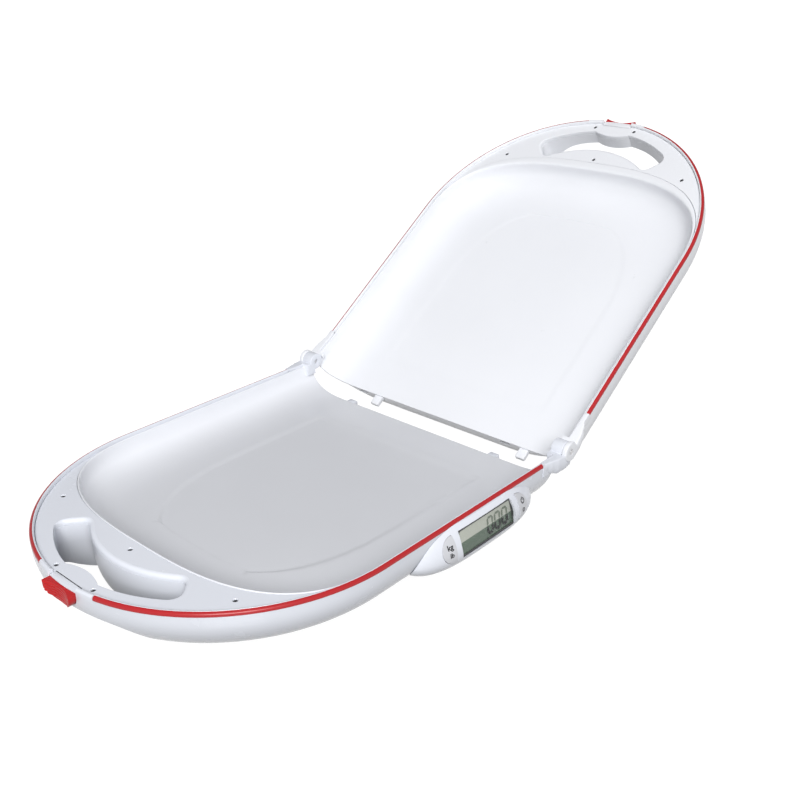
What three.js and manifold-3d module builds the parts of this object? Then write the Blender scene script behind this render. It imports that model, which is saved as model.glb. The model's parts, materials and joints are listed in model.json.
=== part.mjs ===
// A folding weighing scale for small animals: two shallow trays joined by a hinge, carried in two
// shells with hand slots at their round ends. Millimetres, +Z up. The base lies on its feet, the lid
// stands half open, and the display looks out of the base's front side (-Y).
import * as THREE from 'three';
import { mergeVertices } from 'three/addons/utils/BufferGeometryUtils.js';
import Module from 'manifold-3d';

const wasm = await Module();
wasm.setup();

// ---- Driving dimensions ------------------------------------------------------------------------
const HALF_WIDTH = 165; // centre line to the outer wall
const STRAIGHT = 235; // hinge axis to where the round end begins
const NOSE = 168.5; // length of the round end
const HINGE_HEIGHT = 54; // hinge axis above the floor
const SHELL_DEPTH = 50; // hinge axis down to the underside of a shell
const LID_ANGLE = 34.2; // degrees that the lid stands above flat
const END_GAP = 2; // hinge axis to each half's end face
const GAP = 0.3; // clearance between neighbouring pieces
const BASE_WALL = 2.8;
const LID_WALL = 1.9;

const WALL_DROP = 8.6; // the shell's side is upright down to here
const CORNER_WIDTH = 60; // then it curves in by this much
const CORNER_POWER = 2.1;
const HINGE_CORNER = 24; // plan radius of a shell's corners beside the hinge

const TRAY_CENTRE = 222.75;
const TRAY_POWER = 2.85;
const TRAY_HALF = 160.3;
const TRAY_FLOOR = -32;
const TRAY_CURVE = 50; // width of the curve between tray wall and floor
const TRAY_CURVE_POWER = 2.7;
const TRAY_SKIN = 1.8;
const LIP_SIDE = 1.8; // flat lip along a tray's sides
// Length of each tray's round end, and the lip's width there.
const BASE_TRAY = { nose: 112.6, lip: 2 };
const LID_TRAY = { nose: 116.3, lip: 10 };

const RIM_TOP = -0.3;
const BEAD_WIDTH = 4;
const BEAD_BASE = -3.6;
const TRIM_WIDTH = 2.5; // the trim is a strip along the rim's outer edge
const RIM_BASE = -3.9;
const LIP_TOP = -3;
const DECK_TOP = -3.6;
const DECK_SKIN = 2.2;
const DECK_START = 268;
const BASE_TRIM_START = 35;
const LID_TRIM_START = 42;
const TRIM_END_Y = 35.5;

const SLOT_CENTRE = 259; // the hand slot is a band between two arcs about this point
const SLOT_INNER = 101.4;
const SLOT_OUTER = 128.6;
const SLOT_HALF_ANGLE = 38.5;
const SLOT_CORNER = 8;
const SLOT_WALL = 2;
const SLOT_RECESS = 14; // the wall on the tray's side draws back by this much at the bottom
const SLOT_RECESS_TOP = -22;
const BOSS_TIP = 381; // a round boss stands on the slot's outer arc, in front of the latch spring
const BOSS_RADIUS = 47.4;

const GRIP_UNDERSIDE = -20.5; // underside of the hand grip, between slot and rim
const GRIP_HALF = 72;
const GRIP_START = 363;
const GRIP_POWER = 6;

const BARREL_RADIUS = 8.5;
const CHEEK_RADIUS = 9.2;
const ARM_INNER = 154;
const ARM_END = 13; // a hinge arm reaches this far along its half, and a narrow rail goes on from it
const RAIL_INNER = 161;
const ARM_OUTER = 165.9;
const CHEEK_INNER = 166.3;
const CHEEK_OUTER = 171;
const PIN_RADIUS = 2.5;
const TAB_SPOTS = [-106, 82]; // Y of the lock tabs on the lid's end face; the slots mirror them
const TAB_HALF = 5;
const TAB_REACH = 8;
const TAB_TOP = -34.2;
const TAB_BOTTOM = -39;
const ARM_DEPTH = 13;

const LATCH_HALF = 17.6;
const LATCH_TOP = -5.1;
const LATCH_BOTTOM = -18.2;
const LATCH_INNER = 400.2;
const LATCH_FACE = 408.5;
const LATCH_POCKET = 396.8; // the latch slides inward as far as here
const LATCH_SCOOP = 3.9;
const LATCH_SCOOP_RADIUS = 41;
const LATCH_RIBS = 5;
const LATCH_STEM = { start: 392.2, half: 5, bottom: -14, top: -9 };
const SPRING = { start: 384.6, radius: 2.2, wire: 0.35, pitch: 2.2, turns: 3, height: -11.5 };

const POD_CENTRE = -125; // middle of the display, along X
const POD_TILT = 16; // degrees that the display looks up
const POD_OUT = -176.2; // Y of the middle of its face
const POD_DROP = -16.5; // Z of the middle of its face
const POD_RADIUS = 27;
const POD_HALF = 79;
const POD_SKIN = 2.2;
const WINDOW_LENGTH = 70;
const WINDOW_HEIGHT = 22.4;
const BUTTON_START = 41.5; // straight edge of a button, from the middle of the face
const BUTTON_LENGTH = 13.5;
const BUTTON_HALF = 11.4;
const LCD_SIZE = [72, 19, 2.4];
const BOARD_SIZE = [112, 17, 1.6];

const FOOT_RADIUS = 11;
const FOOT_NECK = 4;
const PAD_RADIUS = 7;
const PAD_NECK = 2;
const SCREW_HEAD_TOP = -4.3;
const LOAD_CELL = { halfX: 17, halfY: 11, thick: 2.4 };
const SCREW_SPOTS = [[333.5, 111], [333.5, -111], [344, 0], [392, 24.5], [392, -24.5]];
const FOOT_SPOTS = [[302, 66], [302, -66]];
const LOAD_CELL_Z = -45.1;
const PAD_SPOT = [16, 62];
const BATTERY_X = -128;
const BATTERY_RADIUS = 5.25;
const BATTERY_LENGTH = 44.5;
const BATTERY_PITCH = 11.2;
const BATTERY_Z = -41;
const BAY = { x: -BATTERY_X, halfX: 25, halfY: 25.5, floor: -46.2 };
const DOOR = { halfX: 27, halfY: 28, top: -48.2, bottom: -49.9, travel: 32 };

const RAD = Math.PI / 180;
const BELOW = 10; // how far a cutting tool reaches past what it cuts
const TIP = STRAIGHT + NOSE;
const SIDES = [-1, 1];

// ---- Materials ---------------------------------------------------------------------------------
function finish(color, roughness, metalness = 0) {
  return new THREE.MeshStandardMaterial({ color, roughness, metalness });
}
const white = finish('#eef0f6', 0.28);
const trayWhite = finish('#e2e5ee', 0.32);
const red = finish('#c22f35', 0.3);
const darkRed = finish('#b3262c', 0.4);
const steel = finish('#b9bcc0', 0.35, 0.9);
const rubber = finish('#3a3c40', 0.85);
const clear = finish('#c9d2cc', 0.08);
const liquidCrystal = finish('#aeb8a6', 0.4);
const grey = finish('#b4b6bd', 0.35);
const boardGreen = finish('#2f6b45', 0.6);
const batteryBlack = finish('#2b2d31', 0.45);

// ---- Solids ------------------------------------------------------------------------------------
function solid(geometry, matrix = new THREE.Matrix4()) {
  let shape = geometry.clone().applyMatrix4(matrix);
  shape.deleteAttribute('normal');
  shape.deleteAttribute('uv');
  shape = mergeVertices(shape, 1e-4);
  return new wasm.Manifold(new wasm.Mesh({
    numProp: 3,
    vertProperties: new Float32Array(shape.attributes.position.array),
    triVerts: new Uint32Array(shape.index.array),
  }));
}

function geometryOf(manifold) {
  const mesh = manifold.getMesh();
  const geometry = new THREE.BufferGeometry();
  geometry.setAttribute('position', new THREE.BufferAttribute(new Float32Array(mesh.vertProperties), 3));
  geometry.setIndex(new THREE.BufferAttribute(new Uint32Array(mesh.triVerts), 1));
  return geometry;
}

function join(pieces) {
  return pieces.reduce((whole, piece) => whole.add(piece));
}

function cut(whole, pieces) {
  return pieces.reduce((rest, piece) => rest.subtract(piece), whole);
}

function moved(x, y, z) {
  return new THREE.Matrix4().makeTranslation(x, y, z);
}

// A box between two corners.
function block([x0, y0, z0], [x1, y1, z1]) {
  const box = new THREE.BoxGeometry(x1 - x0, y1 - y0, z1 - z0);
  return solid(box, moved((x0 + x1) / 2, (y0 + y1) / 2, (z0 + z1) / 2));
}

// An upright post.
function post(x, y, z0, z1, radius, sides = 12) {
  const cylinder = new THREE.CylinderGeometry(radius, radius, z1 - z0, sides).rotateX(Math.PI / 2);
  return solid(cylinder, moved(x, y, (z0 + z1) / 2));
}

// A cylinder along Y.
function roller(x, z, y0, y1, radius, sides = 24) {
  return solid(new THREE.CylinderGeometry(radius, radius, y1 - y0, sides), moved(x, (y0 + y1) / 2, z));
}

// A closed skin through equal loops of points, each counter-clockwise seen from the last loop's side.
function loft(loops) {
  const count = loops[0].length;
  const positions = loops.flat().flatMap((p) => [p.x, p.y, p.z]);
  const faces = [];
  for (let i = 0; i + 1 < loops.length; i += 1) {
    for (let j = 0; j < count; j += 1) {
      const a = i * count + j;
      const b = i * count + ((j + 1) % count);
      faces.push(a, b, b + count, a, b + count, a + count);
    }
  }
  const last = (loops.length - 1) * count;
  for (const [p, q, r] of capOf(loops[0])) faces.push(r, q, p);
  for (const [p, q, r] of capOf(loops[loops.length - 1])) faces.push(last + p, last + q, last + r);
  const geometry = new THREE.BufferGeometry();
  geometry.setAttribute('position', new THREE.BufferAttribute(new Float32Array(positions), 3));
  geometry.setIndex(faces);
  return geometry;
}

// Triangles across one flat loop, wound as the loop is.
function capOf(loop) {
  const across = new THREE.Vector3().subVectors(loop[1], loop[0]);
  let normal = new THREE.Vector3();
  for (let i = 0; i < loop.length; i += 1) {
    normal.add(new THREE.Vector3().crossVectors(loop[i], loop[(i + 1) % loop.length]));
  }
  normal = normal.normalize();
  const u = across.sub(normal.clone().multiplyScalar(across.dot(normal))).normalize();
  const v = new THREE.Vector3().crossVectors(normal, u);
  const flat = loop.map((p) => new THREE.Vector2(p.dot(u), p.dot(v)));
  return THREE.ShapeUtils.triangulateShape(flat, []);
}

function level(outline, z) {
  return outline.map(([x, y]) => new THREE.Vector3(x, y, z));
}

function prism(outline, z0, z1) {
  return solid(loft([level(outline, z0), level(outline, z1)]));
}

// ---- Outlines ----------------------------------------------------------------------------------
function power(value, exponent) {
  return Math.sign(value) * Math.abs(value) ** exponent;
}

// Straight sides from the hinge end to a round nose; the corners at the hinge end are rounded too.
function noseOutline({ start, centre, nose, half, exponent, corner = 0.6, steps = 18 }) {
  const cornerSteps = 3;
  const near = [];
  for (let i = 0; i <= cornerSteps; i += 1) {
    const turn = Math.PI * (1 + (0.5 * i) / cornerSteps);
    near.push([start + corner * (1 + Math.cos(turn)), -half + corner * (1 + Math.sin(turn))]);
  }
  const front = [];
  for (let i = 0; i <= steps; i += 1) {
    const turn = Math.PI * (i / steps - 0.5);
    front.push([
      centre + nose * power(Math.cos(turn), 2 / exponent),
      half * power(Math.sin(turn), 2 / exponent),
    ]);
  }
  const far = near.map(([x, y]) => [x, -y]).reverse();
  return [...near, ...front, ...far];
}

function shellOutline(inset, start, corner) {
  return noseOutline({
    start,
    corner,
    centre: STRAIGHT,
    nose: NOSE - inset,
    half: HALF_WIDTH - inset,
    exponent: 2,
    steps: 20,
  });
}

// The shell's outer skin, or its inner skin when `thick` is the wall.
function shellBody(thick) {
  const rings = [];
  const steps = 5;
  const depth = SHELL_DEPTH - WALL_DROP;
  const start = END_GAP + thick;
  for (let i = 0; i <= steps; i += 1) {
    const turn = ((1 - i / steps) * Math.PI) / 2;
    const inset = CORNER_WIDTH * (1 - power(Math.cos(turn), 2 / CORNER_POWER));
    const z = -WALL_DROP - (depth - thick) * power(Math.sin(turn), 2 / CORNER_POWER);
    const underside = 5 * (1 - power(Math.cos(turn * 0.98), 0.35));
    rings.push(level(shellOutline(inset + thick, start + underside, HINGE_CORNER + 0.35 * inset), z));
  }
  const top = thick > 0 ? RIM_TOP + 1 : RIM_BASE;
  rings.push(level(shellOutline(thick, start, HINGE_CORNER), top));
  return solid(loft(rings));
}

// The room under a hand grip, grown by `grow`: an arch along X.
function gripNotch(grow) {
  const steps = 14;
  const half = GRIP_HALF + grow;
  const rise = GRIP_UNDERSIDE + grow + SHELL_DEPTH;
  const arch = [[half, -SHELL_DEPTH - BELOW]];
  for (let i = 0; i <= steps; i += 1) {
    const y = half * Math.cos((Math.PI * i) / steps);
    arch.push([y, -SHELL_DEPTH + rise * Math.sqrt(1 - Math.abs(y / half) ** GRIP_POWER)]);
  }
  arch.push([-half, -SHELL_DEPTH - BELOW]);
  const at = (x) => arch.map(([y, z]) => new THREE.Vector3(x, y, z));
  return solid(loft([at(GRIP_START - grow), at(TIP + BELOW)]));
}

// The tray's hollow grown outward by `grow`, from its end at `start` up to `top`.
function trayBody(tray, grow, start, top) {
  const rings = [];
  const steps = 6;
  for (let i = 0; i <= steps; i += 1) {
    const turn = (Math.PI / 2) * (1 - i / steps);
    const inset = TRAY_CURVE * (1 - power(Math.cos(turn), 2 / TRAY_CURVE_POWER)) - grow;
    const z = LIP_TOP + (TRAY_FLOOR - grow - LIP_TOP) * power(Math.sin(turn), 2 / TRAY_CURVE_POWER);
    rings.push(level(trayOutline(tray, tray.lip + inset, LIP_SIDE + inset, start), z));
  }
  rings.push(level(trayOutline(tray, tray.lip - grow, LIP_SIDE - grow, start), top));
  return solid(loft(rings));
}

function trayOutline(tray, frontInset, sideInset, start) {
  return noseOutline({
    start,
    centre: TRAY_CENTRE,
    nose: tray.nose - frontInset,
    half: TRAY_HALF - sideInset,
    exponent: TRAY_POWER,
  });
}

// Points along an arc about (x, y), without its first point unless `first` is 0.
function arc(x, y, radius, from, to, steps, first = 1) {
  const points = [];
  for (let i = first; i <= steps; i += 1) {
    const turn = from + ((to - from) * i) / steps;
    points.push([x + radius * Math.cos(turn), y + radius * Math.sin(turn)]);
  }
  return points;
}

// The turn about the slot's centre at which its outer arc meets the boss, and the turn about the boss's.
function bossTurns(outer, boss) {
  const apart = BOSS_TIP + BOSS_RADIUS - SLOT_CENTRE;
  const along = (outer ** 2 - boss ** 2 + apart ** 2) / (2 * apart);
  const across = Math.sqrt(outer ** 2 - along ** 2);
  return [Math.atan2(across, along), Math.asin(across / boss)];
}

// The hand slot's outline, grown by `grow`: outer arc with its boss, two corners, inner arc, two corners.
function slotOutline(grow, recess = 0) {
  const outer = SLOT_OUTER + grow;
  const inner = SLOT_INNER - grow - recess;
  const corner = SLOT_CORNER + grow;
  const half = SLOT_HALF_ANGLE * RAD + grow / SLOT_OUTER;
  const outerTurn = half - Math.asin(corner / (outer - corner));
  const innerTurn = half - Math.asin(corner / (inner + corner));
  const boss = BOSS_RADIUS - grow;
  const [meets, bossTurn] = bossTurns(outer, boss);
  const rounded = (radius, turn, from, first) => {
    const x = SLOT_CENTRE + radius * Math.cos(turn);
    return arc(x, radius * Math.sin(turn), corner, turn + from, turn + from + Math.PI / 2, 4, first);
  };
  const outerCorner = rounded(outer - corner, outerTurn, 0, 1);
  const innerCorner = rounded(inner + corner, innerTurn, Math.PI / 2, 0);
  const mirrored = [...outerCorner, ...innerCorner].map(([x, y]) => [x, -y]).reverse().slice(1);
  return [
    ...arc(SLOT_CENTRE, 0, outer, -outerTurn, -meets, 4, 0),
    ...arc(BOSS_TIP + BOSS_RADIUS, 0, boss, Math.PI + bossTurn, Math.PI - bossTurn, 8),
    ...arc(SLOT_CENTRE, 0, outer, meets, outerTurn, 4),
    ...outerCorner,
    ...innerCorner,
    ...arc(SLOT_CENTRE, 0, inner, innerTurn, -innerTurn, 9),
    ...mirrored,
  ];
}

// How far the slot's wall on the tray's side has drawn back at a height.
function slotRecess(z) {
  const down = Math.min(1, Math.max(0, (SLOT_RECESS_TOP - z) / (SHELL_DEPTH + SLOT_RECESS_TOP)));
  return SLOT_RECESS * (1 - Math.sqrt(1 - down ** 2));
}

// The hand slot's hollow grown by `grow`, from below the shell up to `top`.
function slotBody(grow, top) {
  const heights = [-SHELL_DEPTH - BELOW, -SHELL_DEPTH, -48.5, -45, -40, -33, SLOT_RECESS_TOP, top];
  return solid(loft(heights.map((z) => level(slotOutline(grow, slotRecess(z)), z))));
}

// ---- Rim beads ---------------------------------------------------------------------------------
// Sections of the rim as inset from the outer wall and height: the white bead beside the latch, the
// trim on the outer edge, and the white edge between trim and tray.
const LATCH_BEAD = [
  [0, -6.5], [0, -1.7], [0.6, -0.8], [1.5, RIM_TOP], [2.7, RIM_TOP], [3.6, -0.9], [BEAD_WIDTH, -1.8],
  [BEAD_WIDTH, -6.5],
];
const TRIM_SECTION = [
  [0, BEAD_BASE], [0, -2.4], [0.3, -1.6], [1, -0.9], [1.8, -0.5], [TRIM_WIDTH, -0.4],
  [TRIM_WIDTH, BEAD_BASE],
];
const INNER_RIM = [
  [0.8, -6.5], [0.8, RIM_BASE - GAP], [TRIM_WIDTH + GAP, RIM_BASE - GAP], [TRIM_WIDTH + GAP, RIM_TOP],
  [3.3, RIM_TOP], [3.8, -0.8], [BEAD_WIDTH, -1.8], [BEAD_WIDTH, -6.5],
];

// A section's loop where the rim has turned by `turn` from the straight side; `along` is used before it.
function rimLoop(section, turn, along, side) {
  return section.map(([inset, z]) => new THREE.Vector3(
    along ?? STRAIGHT + (NOSE - inset) * Math.sin(turn),
    side * (HALF_WIDTH - inset) * Math.cos(turn),
    z,
  ));
}

// A section swept along one side: from `start` on the straight stretch, or round the nose only.
function rim(section, side, start, fromTurn, toTurn, steps) {
  const loops = [];
  if (start !== null) loops.push(rimLoop(section, 0, start, side));
  for (let i = 0; i <= steps; i += 1) {
    const turn = fromTurn + ((toTurn - fromTurn) * i) / steps;
    loops.push(rimLoop(section, turn, undefined, side));
  }
  return solid(loft(side < 0 ? loops.map((loop) => [...loop].reverse()) : loops));
}

const trimEndTurn = Math.acos(TRIM_END_Y / HALF_WIDTH);
const latchTurn = Math.acos((LATCH_HALF + GAP + 0.2) / HALF_WIDTH);

function trimStrip(side, start) {
  return rim(TRIM_SECTION, side, start, 0, trimEndTurn, 14);
}

// The white part of the rim on one side, from the hinge rail to the latch.
function whiteRim(side, trimStart) {
  const inner = rim(INNER_RIM, side, trimStart - 1, 0, trimEndTurn + 0.006, 14);
  return inner.add(rim(LATCH_BEAD, side, null, trimEndTurn + 0.003, latchTurn, 5));
}

// ---- Hinge -------------------------------------------------------------------------------------
// A cheek that bulges out beside the hinge.
function cheekBody(side, stations) {
  const loops = stations.map(([along, inner, outer, under]) => {
    const section = [
      [inner, RIM_TOP], [inner, under], [outer - 2, under], [outer - 0.5, under * 0.72], [outer, under * 0.45],
      [outer, RIM_TOP - 0.8], [outer - 0.8, RIM_TOP],
    ];
    return section.map(([y, z]) => new THREE.Vector3(along, side * y, z));
  });
  return solid(loft(side < 0 ? loops.map((loop) => [...loop].reverse()) : loops));
}

// The same block on either side, from inner to outer distance off the centre line.
function sideBlock(side, [x0, y0, z0], [x1, y1, z1]) {
  return side < 0 ? block([x0, -y1, z0], [x1, -y0, z1]) : block([x0, y0, z0], [x1, y1, z1]);
}

function sideRoller(side, y0, y1, radius, sides) {
  return side < 0 ? roller(0, 0, -y1, -y0, radius, sides) : roller(0, 0, y0, y1, radius, sides);
}

// Stations of a cheek: distance along the half, inner face, outer face and underside.
const BASE_CHEEK = [
  [0.3, 161, 171, -13.4], [6, 161, 171, -14.8], [16, 161, 170, -15.6], [24, 161, 168.2, -13.4],
  [30, 161, 166.6, -9.4], [34.7, 161, 165.3, -4.6],
];
const LID_CHEEK = [
  [0.6, CHEEK_INNER, 171, -11.4], [9.6, CHEEK_INNER, 171, -11.6], [9.9, 161, 171, -11.6],
  [20, 161, 169.8, -11.2], [28, 161, 167.6, -6.5], [34, 161, 165.2, -3],
];
const ARM_FACE = ARM_OUTER - 0.4;

// A short arm that carries a knuckle, and the rail beside the tray that joins it to the rim.
function hingeArm(side, start, depth, trimStart) {
  const arm = sideBlock(side, [start, ARM_INNER, -depth], [ARM_END, ARM_FACE, RIM_TOP]);
  return arm.add(sideBlock(side, [start, RAIL_INNER, -depth], [trimStart - GAP, ARM_FACE, RIM_TOP]));
}

function baseHinge(side) {
  const arm = hingeArm(side, END_GAP, ARM_DEPTH, BASE_TRIM_START);
  const free = sideRoller(side, CHEEK_INNER - GAP, CHEEK_OUTER + BELOW, CHEEK_RADIUS + GAP);
  const barrel = sideRoller(side, ARM_INNER, ARM_OUTER, BARREL_RADIUS);
  return join([arm, cheekBody(side, BASE_CHEEK)]).subtract(free).add(barrel);
}

function lidHinge(side) {
  const strip = hingeArm(side, BARREL_RADIUS + 0.7, 6, LID_TRIM_START);
  const knuckle = sideRoller(side, CHEEK_INNER, CHEEK_OUTER, CHEEK_RADIUS);
  return join([strip, cheekBody(side, LID_CHEEK), knuckle]);
}

// ---- The pieces that both halves have ----------------------------------------------------------
// Everything here is built along +X from the hinge and turned into place at the end.
function shellBosses() {
  return SCREW_SPOTS.map(([x, y]) => post(x, y, -SHELL_DEPTH + 1, DECK_TOP - DECK_SKIN - GAP, 3.6, 10));
}

function loadCellSeats() {
  return FOOT_SPOTS.flatMap(([x, y]) => [-1, 1].map(
    (end) => block([x + end * 13 - 3, y - 8, -48.6], [x + end * 13 + 3, y + 8, -45.4]),
  ));
}

// A ring inside the shell under the tray's edge, near the hinge.
function trayCollar(tray) {
  const width = TRAY_SKIN + GAP + 2.6;
  return trayBody(tray, width, END_GAP, 0).intersect(block([0, -170, -60], [56, 170, -6]));
}

function shellHoles(wall, isBase) {
  const tabSlot = (y) => block(
    [-1, -y - TAB_HALF - 0.6, TAB_BOTTOM - 1.4],
    [END_GAP + wall + 3, -y + TAB_HALF + 0.6, TAB_TOP + 1.7],
  );
  const holes = [
    latchPocket(),
    ...SCREW_SPOTS.map(([x, y]) => post(x, y, -18, 5, 1.5, 8)),
    ...FOOT_SPOTS.map(([x, y]) => post(x, y, -60, -40, FOOT_NECK + 0.6, 12)),
    ...TAB_SPOTS.map(tabSlot),
    ...SIDES.map((side) => sideRoller(side, ARM_INNER - 2, CHEEK_OUTER + 5, PIN_RADIUS + GAP, 16)),
  ];
  if (isBase) return holes;
  const knuckleRoom = (side) => sideRoller(side, ARM_INNER - GAP, ARM_OUTER + GAP / 2, BARREL_RADIUS + 0.5);
  return [...holes, ...SIDES.map(knuckleRoom)];
}

function shellTabs(wall) {
  return TAB_SPOTS.map((y) => block(
    [-TAB_REACH, y - TAB_HALF, TAB_BOTTOM],
    [END_GAP + wall - 0.2, y + TAB_HALF, TAB_TOP],
  ));
}

function shellOf(wall, isBase) {
  const tray = isBase ? BASE_TRAY : LID_TRAY;
  const skin = cut(shellBody(0), [gripNotch(0)]);
  const hollow = cut(shellBody(wall), [gripNotch(wall)]);
  const seat = trayBody(tray, TRAY_SKIN + GAP, -5, 5);
  const seatPastHinge = seat.intersect(block([40, -170, -60], [420, 170, 5]));
  const posts = join([...shellBosses(), ...loadCellSeats()]).intersect(skin);
  const hinges = SIDES.map((side) => (isBase ? baseHinge(side) : lidHinge(side)));
  const whiteRims = SIDES.map((side) => whiteRim(side, isBase ? BASE_TRIM_START : LID_TRIM_START));
  let shell = cut(join([skin, trayCollar(tray)]), [hollow, seat]);
  shell = cut(join([shell, posts]), [slotBody(SLOT_WALL + GAP, 5)]);
  shell = cut(join([shell, ...hinges, ...whiteRims]), [seatPastHinge, ...shellHoles(wall, isBase)]);
  return join([shell, ...shellTabs(wall)]);
}

function trayOf(tray) {
  const lipPlate = prism(trayOutline(tray, 0, 0, END_GAP), LIP_TOP - 2.2, LIP_TOP);
  const dish = trayBody(tray, TRAY_SKIN, END_GAP, LIP_TOP - 0.1);
  const armCorner = [-5, ARM_INNER - GAP, -ARM_DEPTH - GAP];
  const arms = SIDES.map((side) => sideBlock(side, armCorner, [ARM_END + GAP, 180, 5]));
  return cut(join([lipPlate, dish]), [trayBody(tray, 0, -5, 5), ...arms]);
}

function deckOf(tray) {
  const plate = prism(shellOutline(BEAD_WIDTH + 0.4, END_GAP, 1), DECK_TOP - DECK_SKIN, DECK_TOP);
  const tube = cut(slotBody(SLOT_WALL, DECK_TOP).intersect(shellBody(0)), [gripNotch(0)]);
  const away = [
    prism(trayOutline(tray, -0.4, -0.4, -5), -12, 5),
    block([-5, -170, -60], [DECK_START, 170, 5]),
    slotBody(0, 5),
    block([LATCH_POCKET, -LATCH_HALF - 0.8, -30], [TIP, LATCH_HALF + 0.8, 5]),
    ...SCREW_SPOTS.map(([x, y]) => post(x, y, -10, 5, 1.4, 10)),
    ...SCREW_SPOTS.map(([x, y]) => post(x, y, DECK_TOP - 1.7, 5, 2.3, 10)),
  ];
  return cut(join([plate, tube]), away).add(latchCover());
}

// The half oval of a latch's thumb face, grown by `grow`, as points across and down.
function latchFace(grow) {
  const points = [[-LATCH_HALF - grow, LATCH_TOP + grow]];
  const shoulder = LATCH_TOP - 2;
  const steps = 14;
  for (let i = 0; i <= steps; i += 1) {
    const turn = Math.PI * (1 + i / steps);
    const drop = (shoulder - LATCH_BOTTOM + grow) * power(Math.sin(turn), 0.8);
    points.push([(LATCH_HALF + grow) * power(Math.cos(turn), 0.8), shoulder + drop]);
  }
  points.push([LATCH_HALF + grow, LATCH_TOP + grow]);
  return points;
}

function latchBlank(grow, x0, x1) {
  const face = latchFace(grow);
  const at = (x) => face.map(([y, z]) => new THREE.Vector3(x, y, z));
  return solid(loft([at(x0), at(x1)]));
}

function latchPocket() {
  const above = block([LATCH_POCKET, -LATCH_HALF - GAP, LATCH_TOP], [LATCH_FACE, LATCH_HALF + GAP, 5]);
  return latchBlank(GAP, LATCH_POCKET, LATCH_FACE + 2).add(above);
}

// The deck's tongue over the latch, out to the rim.
function latchCover() {
  const rim = prism(shellOutline(0.6, END_GAP, 1), DECK_TOP - 1.2, DECK_TOP);
  return rim.intersect(block([LATCH_POCKET - 1, 0.3 - LATCH_HALF, -10], [TIP, LATCH_HALF - 0.3, 0]));
}

// The scoop is a ribbed barrel shape standing upright in front of the latch.
function latchScoop() {
  const ribDepth = 0.7;
  const top = LATCH_TOP - 0.9;
  const pitch = (top - LATCH_BOTTOM - 1.4) / LATCH_RIBS;
  const bottom = LATCH_BOTTOM - 5;
  const profile = [[0, 1], [LATCH_SCOOP_RADIUS, 1], [LATCH_SCOOP_RADIUS, top]];
  for (let i = 0; i < LATCH_RIBS; i += 1) {
    const z = top - i * pitch;
    profile.push([LATCH_SCOOP_RADIUS - ribDepth, z - pitch * 0.3], [LATCH_SCOOP_RADIUS, z - pitch]);
  }
  profile.push([LATCH_SCOOP_RADIUS - 3, bottom], [0, bottom]);
  const barrel = turned(profile.reverse(), 60);
  return solid(barrel, moved(LATCH_FACE - LATCH_SCOOP + LATCH_SCOOP_RADIUS, 0, 0));
}

function latchOf() {
  const { start, half, bottom, top } = LATCH_STEM;
  const stem = block([start, -half, bottom], [LATCH_INNER + 1, half, top]);
  return join([cut(latchBlank(0, LATCH_INNER, LATCH_FACE), [latchScoop()]), stem]);
}

class Coil extends THREE.Curve {
  constructor(radius, pitch, turns) {
    super();
    Object.assign(this, { radius, pitch, turns });
  }

  getPoint(t, target = new THREE.Vector3()) {
    const angle = t * this.turns * Math.PI * 2;
    const along = t * this.turns * this.pitch;
    return target.set(along, this.radius * Math.cos(angle), this.radius * Math.sin(angle));
  }
}

function latchSpring() {
  const wire = new THREE.Shape().absarc(0, 0, SPRING.wire, 0, Math.PI * 2);
  const spring = new THREE.ExtrudeGeometry(wire, {
    curveSegments: 2,
    steps: 26,
    bevelEnabled: false,
    extrudePath: new Coil(SPRING.radius, SPRING.pitch, SPRING.turns),
  });
  return spring.translate(SPRING.start, 0, SPRING.height);
}

// A body of revolution about Z from points of radius and height, listed upward.
function turned(profile, sides) {
  return new THREE.LatheGeometry(profile.map(([x, y]) => new THREE.Vector2(x, y)), sides).rotateX(Math.PI / 2);
}

// ---- Building the scene graph ------------------------------------------------------------------
function piece(parent, name, shape, material) {
  const geometry = shape.isBufferGeometry ? shape : geometryOf(shape);
  const mesh = new THREE.Mesh(geometry, material);
  mesh.name = name;
  parent.add(mesh);
  return mesh;
}

function screwGeometry() {
  return turned([[0, -10.5], [0.9, -10.5], [0.9, -0.9], [1.9, -0.7], [1.9, 0], [0, 0]], 6);
}

// A round rubber foot with a neck that passes up through the shell.
function footGeometry(radius, neck, chamfer, top) {
  const ground = -HINGE_HEIGHT;
  const underside = -SHELL_DEPTH - GAP;
  return turned([
    [0, ground], [radius - chamfer, ground], [radius, ground + chamfer], [radius, underside],
    [neck, underside], [neck, top], [0, top],
  ], 14);
}

// A bending-beam load cell: a slotted steel plate.
function loadCellGeometry() {
  const { halfX, halfY, thick } = LOAD_CELL;
  const plate = new THREE.Shape();
  plate.moveTo(-halfX, -halfY).lineTo(halfX, -halfY).lineTo(halfX, halfY).lineTo(-halfX, halfY).closePath();
  const outline = [[-9, -7], [-9, 7], [7, 7], [7, 5], [-7, 5], [-7, -5], [7, -5], [7, -7]];
  plate.holes.push(new THREE.Path(outline.map(([x, y]) => new THREE.Vector2(x, y))));
  return new THREE.ExtrudeGeometry(plate, { depth: thick, bevelEnabled: false });
}

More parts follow.
